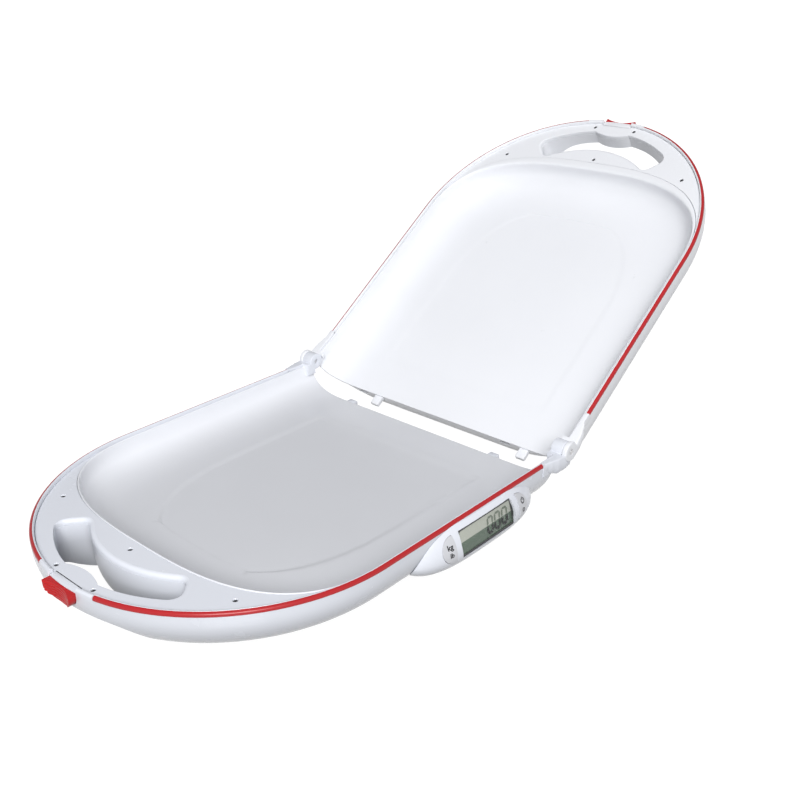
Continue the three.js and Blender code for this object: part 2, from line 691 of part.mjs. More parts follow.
function halfPieces(prefix, wall, trimStart, isBase) {
  const half = new THREE.Group();
  const tray = isBase ? BASE_TRAY : LID_TRAY;
  piece(half, `${prefix}_shell`, shellForHalf(wall, isBase), white);
  piece(half, `${prefix}_tray`, trayOf(tray), isBase ? trayWhite : white);
  piece(half, `${prefix}_handle_deck`, deckOf(tray), white);
  const near = isBase ? 1 : -1; // the base is turned half round, which swaps its sides
  piece(half, `${prefix}_trim_near`, trimStrip(near, trimStart), red);
  piece(half, `${prefix}_trim_far`, trimStrip(-near, trimStart), red);
  piece(half, `${prefix}_latch_button`, latchOf(), darkRed);
  piece(half, `${prefix}_latch_spring`, latchSpring(), steel);
  SCREW_SPOTS.forEach(([x, y], i) => {
    piece(half, `${prefix}_deck_screw_${i + 1}`, screwGeometry(), steel).position.set(x, y, SCREW_HEAD_TOP);
  });
  FOOT_SPOTS.forEach(([x, y]) => {
    const label = y * near > 0 ? 'near' : 'far';
    const foot = footGeometry(FOOT_RADIUS, FOOT_NECK, 1.2, LOAD_CELL_Z - 0.6);
    piece(half, `${prefix}_foot_${label}`, foot, rubber).position.set(x, y, 0);
    piece(half, `${prefix}_load_cell_${label}`, loadCellGeometry(), steel).position.set(x, y, LOAD_CELL_Z);
  });
  return half;
}

function shellForHalf(wall, isBase) {
  const shell = shellOf(wall, isBase);
  return isBase ? cut(baseExtras(shell), baseOpenings()) : shell;
}

// ---- Battery bay, in the base's own turned frame (+X from the hinge to the handle) ---------------
function baseExtras(shell) {
  const floorPad = block([BAY.x - 31, -31, -48.5], [BAY.x + 31 + DOOR.travel, 31, BAY.floor]);
  return shell.add(floorPad);
}

function baseOpenings() {
  return [
    block([BAY.x - BAY.halfX + 1.6, -BAY.halfY + 1.6, -60], [BAY.x + BAY.halfX - 1.6, BAY.halfY - 1.6, -40]),
    block(
      [BAY.x - DOOR.halfX - GAP, -DOOR.halfY - GAP, -60],
      [BAY.x + DOOR.halfX + DOOR.travel, DOOR.halfY + GAP, DOOR.top + GAP],
    ),
    block([-POD_CENTRE - 60, 150, -32], [-POD_CENTRE + 60, 180, -7.2]),
    post(PAD_SPOT[0], PAD_SPOT[1], -60, -44, 2.3, 10),
    post(PAD_SPOT[0], -PAD_SPOT[1], -60, -44, 2.3, 10),
  ];
}

function batteryBox() {
  const outer = block([BAY.x - BAY.halfX, -BAY.halfY, BAY.floor + GAP], [BAY.x + BAY.halfX, BAY.halfY, -34.4]);
  const inner = block(
    [BAY.x - BAY.halfX + 1.2, -BAY.halfY + 1.2, -60],
    [BAY.x + BAY.halfX - 1.2, BAY.halfY - 1.2, -35.4],
  );
  return cut(outer, [inner]);
}

function batteryDoor() {
  const plate = block(
    [BAY.x - DOOR.halfX, -DOOR.halfY, DOOR.bottom],
    [BAY.x + DOOR.halfX, DOOR.halfY, DOOR.top],
  );
  const grips = [-6, 0, 6].map(
    (x) => block([BAY.x - 14 + x, -10, DOOR.bottom - 1], [BAY.x - 12 + x, 10, DOOR.bottom + 0.7]),
  );
  return cut(plate, grips);
}

function batteryGeometry() {
  const half = BATTERY_LENGTH / 2;
  const profile = [
    [0, -half], [BATTERY_RADIUS, -half], [BATTERY_RADIUS, half - 1], [1.9, half - 1], [1.9, half], [0, half],
  ];
  return turned(profile, 12).rotateX(-Math.PI / 2);
}

function basePower(half) {
  piece(half, 'battery_box', batteryBox(), white);
  piece(half, 'battery_door', batteryDoor(), white);
  [-1.5, -0.5, 0.5, 1.5].forEach((step, i) => {
    const battery = piece(half, `battery_${i + 1}`, batteryGeometry(), batteryBlack);
    battery.position.set(BAY.x + step * BATTERY_PITCH, 0, BATTERY_Z);
    battery.rotation.z = i % 2 ? Math.PI : 0;
  });
  [[-1, 'near'], [1, 'far']].forEach(([side, label]) => {
    const y = -side * (BATTERY_LENGTH / 2 + 0.9);
    const strip = block([BAY.x - 22, y - 0.3, -45], [BAY.x + 22, y + 0.3, -36.5]);
    piece(half, `battery_contact_${label}`, strip, steel);
  });
}

// ---- Display pod, in the unturned base frame (-X to the handle, -Y to the front) -----------------
const podAxis = new THREE.Vector3(0, -Math.cos(POD_TILT * RAD), Math.sin(POD_TILT * RAD));
const podPlace = new THREE.Matrix4()
  .makeRotationX(Math.PI / 2 - POD_TILT * RAD)
  .setPosition(POD_CENTRE, POD_OUT, POD_DROP);

// The pod is a bar with round ends; its axis lies POD_RADIUS behind the middle of the face.
function podBody(inset) {
  const axisY = POD_OUT - podAxis.y * POD_RADIUS;
  const axisZ = POD_DROP - podAxis.z * POD_RADIUS;
  const loops = [];
  const stations = 14;
  const sides = 24;
  for (let i = 0; i <= stations; i += 1) {
    const along = Math.sin((Math.PI / 2) * (-0.985 + (1.97 * i) / stations));
    const radius = Math.max(1, (POD_RADIUS - inset) * (1 - Math.abs(along) ** 3.2) ** (1 / 2.4));
    const loop = [];
    for (let j = 0; j < sides; j += 1) {
      const turn = (2 * Math.PI * j) / sides;
      const low = Math.sin(turn) < 0 ? 0.74 : 1;
      loop.push(new THREE.Vector3(
        POD_CENTRE + along * (POD_HALF - inset),
        axisY + radius * Math.cos(turn),
        axisZ + radius * Math.sin(turn) * low,
      ));
    }
    loops.push(loop);
  }
  return solid(loft(loops));
}

// A flat outline on the pod's face made into a bar that passes through its skin.
function podPrism(outline, deep = 14, proud = 12) {
  const loops = [level(outline, -deep), level(outline, proud)];
  return solid(loft(loops), podPlace);
}

function windowOutline(grow) {
  const x = WINDOW_LENGTH / 2 + grow;
  const y = WINDOW_HEIGHT / 2 + grow;
  return [[-x, -y], [x, -y], [x, y], [-x, y]];
}

// A button is the end of an oval, cut off straight towards the window.
function buttonOutline(side, grow) {
  const points = [];
  const steps = 12;
  for (let i = 0; i <= steps; i += 1) {
    const turn = Math.PI * (i / steps - 0.5);
    points.push([
      BUTTON_START - grow + (BUTTON_LENGTH + 2 * grow) * Math.cos(turn),
      (BUTTON_HALF + grow) * Math.sin(turn),
    ]);
  }
  const placed = points.map(([x, y]) => [side * x, y]);
  return side > 0 ? placed : placed.reverse();
}

function podHousing() {
  const aboveRim = block([-400, -220, RIM_BASE + 1.2], [0, 0, 40]);
  const besideTrim = block([-400, -HALF_WIDTH - GAP, BEAD_BASE - 0.9], [0, 0, 40]);
  const outlines = [windowOutline(GAP), buttonOutline(-1, GAP), buttonOutline(1, GAP)];
  const openings = outlines.map((outline) => podPrism(outline));
  return largest(cut(podBody(0), [podBody(POD_SKIN), turnedSkin(), aboveRim, besideTrim, ...openings]));
}

// The part of the pod's skin between two insets that lies within an outline on its face.
function podPatch(outline, from, to) {
  return largest(cut(podBody(from), [podBody(to)]).intersect(podPrism(outline)));
}

function podPieces(group) {
  piece(group, 'display_housing', podHousing(), white);
  piece(group, 'display_window', podPatch(windowOutline(0), -0.25, 1.5), clear);
  piece(group, 'button_units', podPatch(buttonOutline(-1, 0), -0.7, 3.2), grey);
  piece(group, 'button_power', podPatch(buttonOutline(1, 0), -0.7, 3.2), grey);
  const inPod = (name, size, depth, material) => {
    const mesh = piece(group, name, new THREE.BoxGeometry(...size), material);
    mesh.applyMatrix4(podPlace);
    mesh.translateZ(-depth);
  };
  inPod('lcd_module', LCD_SIZE, 7, liquidCrystal);
  inPod('circuit_board', BOARD_SIZE, 10.4, boardGreen);
}

// The biggest separate body of a solid.
function largest(manifold) {
  const bodies = manifold.decompose();
  return bodies.reduce((best, body) => (body.volume() > best.volume() ? body : best));
}

// The base shell's outer skin in the unturned frame, a gap larger all round.
function turnedSkin() {
  const skin = geometryOf(shellBody(-GAP)).rotateZ(Math.PI);
  return solid(skin);
}

function hingePins(group) {
  [[-1, 'near'], [1, 'far']].forEach(([side, label]) => {
    const length = CHEEK_OUTER + 0.2 - (ARM_INNER + 1);
    const tip = PIN_RADIUS - 0.6;
    const profile = [[0, 0], [PIN_RADIUS, 0], [PIN_RADIUS, length - 0.5], [tip, length], [0, length]];
    const pin = turned(profile, 16).rotateX(-Math.PI / 2);
    if (side < 0) pin.rotateZ(Math.PI);
    piece(group, `hinge_pin_${label}`, pin, steel).position.set(0, side * (ARM_INNER + 1), 0);
  });
}

function supportPads(half) {
  [[1, 'near'], [-1, 'far']].forEach(([side, label]) => {
    const pad = footGeometry(PAD_RADIUS, PAD_NECK, 0.8, -46);
    piece(half, `support_pad_${label}`, pad, rubber).position.set(PAD_SPOT[0], side * PAD_SPOT[1], 0);
  });
}

const scale = new THREE.Group();
const base = new THREE.Group();
const baseHalf = halfPieces('base', BASE_WALL, BASE_TRIM_START, true);
basePower(baseHalf);
supportPads(baseHalf);
baseHalf.rotation.z = Math.PI;
base.add(baseHalf);
podPieces(base);
hingePins(base);

const lid = halfPieces('lid', LID_WALL, LID_TRIM_START, false);
lid.rotation.y = -LID_ANGLE * RAD;
scale.add(base, lid);

// The origin is the middle of the bounding box's underside.
scale.updateMatrixWorld(true);
const box = new THREE.Box3().setFromObject(scale, true);
scale.position.set(-(box.min.x + box.max.x) / 2, -(box.min.y + box.max.y) / 2, -box.min.z);

export default scale;
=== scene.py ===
"""Looks for the folding animal weighing scale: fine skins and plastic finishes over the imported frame."""

import json
import math

import bmesh
import bpy
from mathutils import Matrix, Vector


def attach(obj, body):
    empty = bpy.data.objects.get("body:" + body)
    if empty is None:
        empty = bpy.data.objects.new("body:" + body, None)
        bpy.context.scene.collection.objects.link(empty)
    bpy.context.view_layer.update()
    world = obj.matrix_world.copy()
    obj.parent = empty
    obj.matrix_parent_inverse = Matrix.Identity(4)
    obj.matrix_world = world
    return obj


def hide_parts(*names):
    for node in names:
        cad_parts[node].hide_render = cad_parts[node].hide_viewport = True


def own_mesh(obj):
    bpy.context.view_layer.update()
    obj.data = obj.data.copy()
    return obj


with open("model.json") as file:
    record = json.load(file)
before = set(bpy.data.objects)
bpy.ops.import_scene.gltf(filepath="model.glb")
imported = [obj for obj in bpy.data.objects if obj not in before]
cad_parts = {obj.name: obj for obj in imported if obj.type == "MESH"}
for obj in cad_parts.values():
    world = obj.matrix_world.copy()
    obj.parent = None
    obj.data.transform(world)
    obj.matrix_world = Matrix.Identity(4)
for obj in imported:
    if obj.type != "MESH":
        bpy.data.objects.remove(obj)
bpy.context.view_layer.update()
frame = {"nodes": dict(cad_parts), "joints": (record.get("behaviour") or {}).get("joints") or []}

# ---- Camera ------------------------------------------------------------------
CAMERA_PLACE = Vector((-0.6547, -0.5849, 0.4710))
CAMERA_AZIMUTH = math.radians(-47.855)
CAMERA_ELEVATION = math.radians(24.763)
CAMERA_ROLL = math.radians(-0.818)
CAMERA_LENS = 45.32


def make_camera():
    back = Vector((
        math.sin(CAMERA_AZIMUTH) * math.cos(CAMERA_ELEVATION),
        -math.cos(CAMERA_AZIMUTH) * math.cos(CAMERA_ELEVATION),
        math.sin(CAMERA_ELEVATION),
    ))
    level = Vector((0, 0, 1)).cross(back).normalized()
    rise = back.cross(level)
    c, s = math.cos(CAMERA_ROLL), math.sin(CAMERA_ROLL)
    right = c * level + s * rise
    up = -s * level + c * rise
    data = bpy.data.cameras.new("camera")
    data.lens = CAMERA_LENS
    data.sensor_width = 36
    data.clip_start, data.clip_end = 0.01, 100
    camera = bpy.data.objects.new("camera", data)
    bpy.context.scene.collection.objects.link(camera)
    turn = Matrix((right, up, back)).transposed().to_4x4()
    camera.matrix_world = Matrix.Translation(CAMERA_PLACE) @ turn
    bpy.context.scene.camera = camera


make_camera()

# ---- Where each half lies ----------------------------------------------------
HINGE = Vector(next(j for j in frame["joints"] if j["name"] == "lid_hinge")["pos_m"])
LID_ANGLE = 34.2
MM = Matrix.Scale(0.001, 4)
BODY = Matrix.Translation(HINGE) @ MM
BASE = Matrix.Translation(HINGE) @ Matrix.Rotation(math.pi, 4, "Z") @ MM
LID = Matrix.Translation(HINGE) @ Matrix.Rotation(-math.radians(LID_ANGLE), 4, "Y") @ MM

# ---- Dimensions in millimetres, along +X from the hinge ----------------------
HALF_WIDTH, STRAIGHT, NOSE = 165, 235, 168.5
SHELL_DEPTH, END_GAP, GAP, SKIN_INSET = 50, 2, 0.3, 0.12
WALL_DROP, CORNER_WIDTH, CORNER_POWER, HINGE_CORNER, END_DRAFT = 8.6, 60, 2.1, 24, 5
TRAY_CENTRE, TRAY_POWER, TRAY_HALF = 222.75, 2.85, 160.3
TRAY_FLOOR, TRAY_CURVE, TRAY_CURVE_POWER, TRAY_SKIN = -32, 50, 2.7, 1.8
TRAY = {"base": (112.6, 2), "lid": (116.3, 10)}
LIP_SIDE, LIP_TOP = 1.8, -3
RIM_TOP, RIM_BASE, BEAD_BASE, BEAD_WIDTH = -0.3, -3.9, -3.6, 4
DECK_TOP, DECK_SKIN, DECK_START = -3.6, 2.2, 268
TRIM_START = {"base": 35, "lid": 42}
WALL = {"base": 2.8, "lid": 1.9}
TRIM_END_Y, TRIM_WIDTH = 35.5, 2.5
SLOT_CENTRE, SLOT_INNER, SLOT_OUTER = 259, 101.4, 128.6
SLOT_HALF_ANGLE, SLOT_CORNER = math.radians(38.5), 8
SLOT_RECESS, SLOT_RECESS_TOP, BOSS_TIP, BOSS_RADIUS = 14, -22, 381, 47.4
GRIP_UNDERSIDE, GRIP_HALF, GRIP_START, GRIP_POWER = -20.5, 72, 363, 6
BARREL_RADIUS, CHEEK_RADIUS = 8.5, 9.2
ARM_INNER, ARM_OUTER, CHEEK_INNER, CHEEK_OUTER = 154, 165.9, 166.3, 171
ARM_END, RAIL_INNER = 13, 161
PIN_RADIUS, ARM_DEPTH = 2.5, 13
SPRING_X, SPRING_Z, SPRING_RADIUS, SPRING_WIRE, SPRING_PITCH, SPRING_KEEP = 384.6, -11.5, 2.2, 0.35, 2.2, 0.66
TAB_SPOTS, TAB_HALF, TAB_REACH, TAB_TOP, TAB_BOTTOM = (-106, 82), 5, 8, -34.2, -39
LATCH_HALF, LATCH_TOP, LATCH_BOTTOM, LATCH_INNER, LATCH_FACE = 17.6, -5.1, -18.2, 400.2, 408.5
LATCH_POCKET, LATCH_SCOOP, LATCH_SCOOP_RADIUS, LATCH_RIBS = 396.8, 3.9, 41, 5
POD_CENTRE, POD_TILT, POD_OUT, POD_DROP = -125, math.radians(16), -176.2, -16.5
POD_RADIUS, POD_HALF = 27, 79
WINDOW_LENGTH, WINDOW_HEIGHT = 70, 22.4
SCREW_SPOTS = ((333.5, 111), (333.5, -111), (344, 0), (392, 24.5), (392, -24.5))
FOOT_RADIUS, PAD_RADIUS, FOOT_SPOTS, PAD_SPOT = 11, 7, ((302, 66), (302, -66)), (16, 62)
FLOOR, FOOT_TOP = -54, -SHELL_DEPTH - 0.1
SCREW_HOLE, SLOT_WALL, LATCH_ROOM = 2.5, 1.9, 0.8
BELOW, ABOVE, BEHIND = -60, 5, -5  # how far the cutting solids reach past the part
SHARP_ANGLE = math.radians(35)


# ---- Meshes ------------------------------------------------------------------
def power(value, exponent):
    return math.copysign(abs(value) ** exponent, value)


def mesh_of(points, faces):
    mesh = bpy.data.meshes.new("made")
    mesh.from_pydata([tuple(p) for p in points], [], faces)
    mesh.validate()
    return mesh


def loft(loops, capped=True):
    """A skin through equal loops, counter-clockwise seen from the last loop's side."""
    count = len(loops[0])
    points = [p for loop in loops for p in loop]
    faces = []
    for i in range(len(loops) - 1):
        for j in range(count):
            a, b = i * count + j, i * count + (j + 1) % count
            faces.append((a, b, b + count, a + count))
    if capped:
        last = (len(loops) - 1) * count
        faces.append(tuple(reversed(range(count))))
        faces.append(tuple(last + j for j in range(count)))
    return mesh_of(points, faces)


def level(outline, z):
    return [(x, y, z) for x, y in outline]


def prism(outline, z0, z1):
    return loft([level(outline, z0), level(outline, z1)])


def block(a, b):
    x0, y0, z0 = a
    x1, y1, z1 = b
    return prism([(x0, y0), (x1, y0), (x1, y1), (x0, y1)], z0, z1)


def circle(x, y, radius, sides=32):
    turns = [2 * math.pi * i / sides for i in range(sides)]
    return [(x + radius * math.cos(t), y + radius * math.sin(t)) for t in turns]


def lathe(profile, sides):
    """A round piece about Z, from (radius, height) points that start and end away from the axis."""
    return loft([level(circle(0, 0, radius, sides), z) for radius, z in profile])


def roller(y0, y1, radius, rounding=0.0, sides=64):
    """A cylinder along Y with rounded edges."""
    steps = 4 if rounding else 0
    turns = [2 * math.pi * k / sides for k in range(sides)]
    profile = []
    for i in range(steps + 1):
        t = math.pi / 2 * i / max(steps, 1)
        profile.append((radius - rounding * (1 - math.sin(t)), y0 + rounding * (1 - math.cos(t))))
    for i in range(steps + 1):
        t = math.pi / 2 * i / max(steps, 1)
        profile.append((radius - rounding * (1 - math.cos(t)), y1 - rounding * (1 - math.sin(t))))
    return loft([[(r * math.sin(t), y, r * math.cos(t)) for t in turns] for r, y in profile])


def placed(mesh, matrix):
    mesh.transform(matrix)
    return mesh


def joined(meshes):
    whole = bmesh.new()
    for mesh in meshes:
        whole.from_mesh(mesh)
        bpy.data.meshes.remove(mesh)
    result = bpy.data.meshes.new("made")
    whole.to_mesh(result)
    whole.free()
    return result


def evaluated(mesh, setups):
    """The mesh after modifiers, each a (type, settings) pair."""
    holder = bpy.data.objects.new("holder", mesh)
    bpy.context.scene.collection.objects.link(holder)
    for kind, settings in setups:
        modifier = holder.modifiers.new(kind, kind)
        for key, value in settings.items():
            setattr(modifier, key, value)
    graph = bpy.context.evaluated_depsgraph_get()
    final = holder.evaluated_get(graph)
    result = bpy.data.meshes.new_from_object(final, preserve_all_data_layers=True, depsgraph=graph)
    bpy.data.objects.remove(holder)
    bpy.data.meshes.remove(mesh)
    return result


def combined(mesh, others, operation):
    """Joins, cuts or keeps the common part, one other mesh at a time."""
    tools = []
    for other in others:
        tool = bpy.data.objects.new("tool", other)
        bpy.context.scene.collection.objects.link(tool)
        tools.append(tool)
    setups = [("BOOLEAN", {"object": t, "operation": operation, "solver": "EXACT"}) for t in tools]
    result = evaluated(mesh, setups)
    for tool in tools:
        data = tool.data
        bpy.data.objects.remove(tool)
        bpy.data.meshes.remove(data)
    return result


def cut(mesh, others):
    return combined(mesh, others, "DIFFERENCE")


def common(mesh, others):
    return combined(mesh, others, "INTERSECT")


def largest(mesh):
    """The biggest separate island of a mesh."""
    work = bmesh.new()
    work.from_mesh(mesh)
    seen, islands = set(), []
    for vertex in work.verts:
        if vertex in seen:
            continue
        island, queue = [], [vertex]
        seen.add(vertex)
        while queue:
            v = queue.pop()
            island.append(v)
            for edge in v.link_edges:
                other = edge.other_vert(v)
                if other not in seen:
                    seen.add(other)
                    queue.append(other)
        islands.append(island)
    keep = max(islands, key=len)
    kept = set(keep)
    bmesh.ops.delete(work, geom=[v for v in work.verts if v not in kept], context="VERTS")
    work.to_mesh(mesh)
    work.free()
    return mesh


def bevelled(mesh, width, segments=3, angle=32):
    return evaluated(mesh, [("BEVEL", {
        "width": width, "segments": segments, "limit_method": "ANGLE", "angle_limit": math.radians(angle),
        "harden_normals": False, "use_clamp_overlap": True,
    })])


def piece(name, mesh, place, body, material, replaces=()):
    """Puts a mesh in the frame as a piece that rides on a body."""
    mesh.name = name
    mesh.transform(place)
    mesh.polygons.foreach_set("use_smooth", [True] * len(mesh.polygons))
    mesh.set_sharp_from_angle(angle=SHARP_ANGLE)
    mesh.materials.clear()
    mesh.materials.append(material)
    made = bpy.data.objects.new(name, mesh)
    bpy.context.scene.collection.objects.link(made)
    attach(made, body)
    if replaces:
        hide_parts(*replaces)
    return made


# ---- Outlines ----------------------------------------------------------------
def nose_outline(start, centre, nose, half, exponent, corner, steps=96, corner_steps=8):
    """Straight sides from the hinge end to a round nose, counter-clockwise from above."""
    near = []
    for i in range(corner_steps + 1):
        turn = math.pi * (1 + 0.5 * i / corner_steps)
        near.append((start + corner * (1 + math.cos(turn)), -half + corner * (1 + math.sin(turn))))
    front = []
    for i in range(steps + 1):
        turn = math.pi * (i / steps - 0.5)
        x = centre + nose * power(math.cos(turn), 2 / exponent)
        front.append((x, half * power(math.sin(turn), 2 / exponent)))
    far = [(x, -y) for x, y in reversed(near)]
    return near + front + far


def shell_outline(inset, start, corner):
    return nose_outline(start, STRAIGHT, NOSE - inset, HALF_WIDTH - inset, 2, corner)


def tray_outline(name, front_inset, side_inset, start):
    nose, half = TRAY[name][0] - front_inset, TRAY_HALF - side_inset
    return nose_outline(start, TRAY_CENTRE, nose, half, TRAY_POWER, 0.6)


def shell_rings(thick, steps=22):
    rings = []
    for i in range(steps + 1):
        turn = (1 - i / steps) * math.pi / 2
        inset = CORNER_WIDTH * (1 - power(math.cos(turn), 2 / CORNER_POWER))
        z = -WALL_DROP - (SHELL_DEPTH - WALL_DROP - thick) * power(math.sin(turn), 2 / CORNER_POWER)
        draft = END_DRAFT * (1 - power(math.cos(turn * 0.98), 0.35))
        outline = shell_outline(inset + thick, END_GAP + thick + draft, HINGE_CORNER + 0.35 * inset)
        rings.append(level(outline, z))
    return rings


def shell_solid(thick, top):
    return loft(shell_rings(thick) + [level(shell_outline(thick, END_GAP + thick, HINGE_CORNER), top)])


def tray_curve(turn):
    """How far across and how far down the curve between tray wall and floor has gone."""
    return 1 - power(math.cos(turn), 2 / TRAY_CURVE_POWER), power(math.sin(turn), 2 / TRAY_CURVE_POWER)


def tray_body(name, grow, start, top, steps=18):
    lip, rings = TRAY[name][1], []
    for i in range(steps + 1):
        across, down = tray_curve(math.pi / 2 * (1 - i / steps))
        inset = TRAY_CURVE * across - grow
        z = LIP_TOP + (TRAY_FLOOR - grow - LIP_TOP) * down
        rings.append(level(tray_outline(name, lip + inset, LIP_SIDE + inset, start), z))
    rings.append(level(tray_outline(name, lip - grow, LIP_SIDE - grow, start), top))
    return loft(rings)


def grip_notch(grow, steps=48):
    """The room under a hand grip: an arch along X."""
    half, rise = GRIP_HALF + grow, GRIP_UNDERSIDE + grow + SHELL_DEPTH
    arch = [(half, -SHELL_DEPTH - 10)]
    for i in range(steps + 1):
        y = half * math.cos(math.pi * i / steps)
        arch.append((y, -SHELL_DEPTH + rise * math.sqrt(1 - abs(y / half) ** GRIP_POWER)))
    arch.append((-half, -SHELL_DEPTH - 10))
    return loft([[(x, y, z) for y, z in arch] for x in (GRIP_START - grow, STRAIGHT + NOSE + 10)])


def arc(x, y, radius, start, end, steps, first=1):
    turns = [start + (end - start) * i / steps for i in range(first, steps + 1)]
    return [(x + radius * math.cos(t), y + radius * math.sin(t)) for t in turns]


def slot_outline(grow, outer_grow=None, recess=0.0):
    """The hand slot: outer arc with its round boss, two corners, inner arc, two corners."""
    outer_grow = grow if outer_grow is None else outer_grow
    outer, inner, corner = SLOT_OUTER + outer_grow, SLOT_INNER - grow - recess, SLOT_CORNER + grow
    half = SLOT_HALF_ANGLE + grow / SLOT_OUTER
    outer_turn = half - math.asin(corner / (outer - corner))
    inner_turn = half - math.asin(corner / (inner + corner))
    boss = BOSS_RADIUS - outer_grow
    apart = BOSS_TIP + BOSS_RADIUS - SLOT_CENTRE
    along = (outer**2 - boss**2 + apart**2) / (2 * apart)
    across = math.sqrt(outer**2 - along**2)
    meets, boss_turn = math.atan2(across, along), math.asin(across / boss)

    def rounded(radius, turn, start, first):
        x, y = SLOT_CENTRE + radius * math.cos(turn), radius * math.sin(turn)
        return arc(x, y, corner, turn + start, turn + start + math.pi / 2, 12, first)

    corners = rounded(outer - corner, outer_turn, 0, 1) + rounded(inner + corner, inner_turn, math.pi / 2, 0)
    return (
        arc(SLOT_CENTRE, 0, outer, -outer_turn, -meets, 16, 0)
        + arc(BOSS_TIP + BOSS_RADIUS, 0, boss, math.pi + boss_turn, math.pi - boss_turn, 32)
        + arc(SLOT_CENTRE, 0, outer, meets, outer_turn, 16)
        + corners
        + arc(SLOT_CENTRE, 0, inner, inner_turn, -inner_turn, 40)
        + [(x, -y) for x, y in reversed(corners)][1:]
    )


def slot_recess(z):
    """How far the slot's wall on the tray's side has drawn back at a height."""
    down = max(0.0, min(1.0, (SLOT_RECESS_TOP - z) / (SHELL_DEPTH + SLOT_RECESS_TOP)))
    return SLOT_RECESS * (1 - math.sqrt(1 - down * down))


SLOT_HEIGHTS = (BELOW, -50, -49.5, -48.5, -47, -45, -42.5, -40, -36.5, -33, -29, -25, -22)


def slot_body(grow, top):
    return loft([level(slot_outline(grow, recess=slot_recess(z)), z) for z in (*SLOT_HEIGHTS, top)])


# ---- Finishes, some with painted light and shade -----------------------------
def ramp_stops(ramp, stops):
    """Sets a ramp's stops, given in order from its first place to its last."""
    for _ in stops[2:]:
        ramp.elements.new(0.5)
    for element, (place, color) in zip(ramp.elements, stops):
        element.position = place
        element.color = (*color, 1)


def node_material(
    name, color, roughness, metallic=0.0, coat=0.0, grain=0.0, grain_scale=900.0, tint=0.03, **sockets,
):
    """A moulded or metal finish: slow colour drift, handling marks in the gloss, and a fine surface grain."""
    material = bpy.data.materials.new(name)
    material.use_nodes = True
    tree = material.node_tree
    nodes, links = tree.nodes, tree.links
    shader = nodes["Principled BSDF"]
    shader.inputs["Metallic"].default_value = metallic
    shader.inputs["Coat Weight"].default_value = coat
    for key, value in sockets.items():
        shader.inputs[key.replace("_", " ")].default_value = value
    place = nodes.new("ShaderNodeTexCoord")

    def noise(scale, detail):
        made = nodes.new("ShaderNodeTexNoise")
        made.inputs["Scale"].default_value = scale
        made.inputs["Detail"].default_value = detail
        links.new(place.outputs["Object"], made.inputs["Vector"])
        return made.outputs["Fac"]

    shade = nodes.new("ShaderNodeValToRGB")
    dark, light = [c * (1 - tint) for c in color], [min(1.0, c * (1 + tint)) for c in color]
    ramp_stops(shade.color_ramp, [(0.3, dark), (0.7, light)])
    links.new(noise(9.0, 3.0), shade.inputs["Fac"])
    links.new(shade.outputs["Color"], shader.inputs["Base Color"])

    gloss = nodes.new("ShaderNodeMapRange")
    gloss.inputs["To Min"].default_value = roughness * 0.82
    gloss.inputs["To Max"].default_value = roughness * 1.18
    links.new(noise(55.0, 5.0), gloss.inputs["Value"])
    links.new(gloss.outputs["Result"], shader.inputs["Roughness"])

    if grain:
        bump = nodes.new("ShaderNodeBump")
        bump.inputs["Strength"].default_value = grain
        bump.inputs["Distance"].default_value = 0.0002
        links.new(noise(grain_scale, 2.0), bump.inputs["Height"])
        links.new(bump.outputs["Normal"], shader.inputs["Normal"])
    return material


def painted_light_by_height(material, stops):
    """Multiplies a finish's colour by painted light and shade that change with height above the floor, in
    metres.
    """
    nodes, links = material.node_tree.nodes, material.node_tree.links
    base = nodes["Principled BSDF"].inputs["Base Color"]
    shade = base.links[0].from_socket
    place = nodes.new("ShaderNodeTexCoord")
    parts = nodes.new("ShaderNodeSeparateXYZ")
    links.new(place.outputs["Object"], parts.inputs["Vector"])
    low, high = stops[0][0], stops[-1][0]
    height = nodes.new("ShaderNodeMapRange")
    height.inputs["From Min"].default_value = low
    height.inputs["From Max"].default_value = high
    links.new(parts.outputs["Z"], height.inputs["Value"])
    # The ramp holds the painted light-and-shade factor for each height.
    tint = nodes.new("ShaderNodeValToRGB")
    ramp_stops(tint.color_ramp, [((z - low) / (high - low), color) for z, color in stops])
    links.new(height.outputs["Result"], tint.inputs["Fac"])
    mixed = nodes.new("ShaderNodeMix")
    mixed.data_type, mixed.blend_type = "RGBA", "MULTIPLY"
    mixed.inputs["Factor"].default_value = 1.0
    links.new(shade, mixed.inputs["A"])
    links.new(tint.outputs["Color"], mixed.inputs["B"])
    links.new(mixed.outputs["Result"], base)


WHITE = (0.74, 0.765, 0.825)
white = node_material("white_plastic", WHITE, 0.26, grain=0.10, grain_scale=1400, coat=0.15, tint=0.012)
# Painted light: the lid's white is the base's white plastic painted lighter, as the lid is lit more brightly.
lid_painted_lighter_white = node_material(
    "lid_plastic_painted_lighter", (0.85, 0.865, 0.90), 0.30, grain=0.10, grain_scale=1400, coat=0.1, tint=0.012,
)
# Painted light: the dish is a lighter copy of the white plastic, so its walls come out brighter than the
# deck.
tray_painted_light_shade = node_material(
    "tray_plastic_painted_light_shade", (0.82, 0.835, 0.875), 0.24, grain=0.14, grain_scale=1100, coat=0.2, tint=0.012,
)
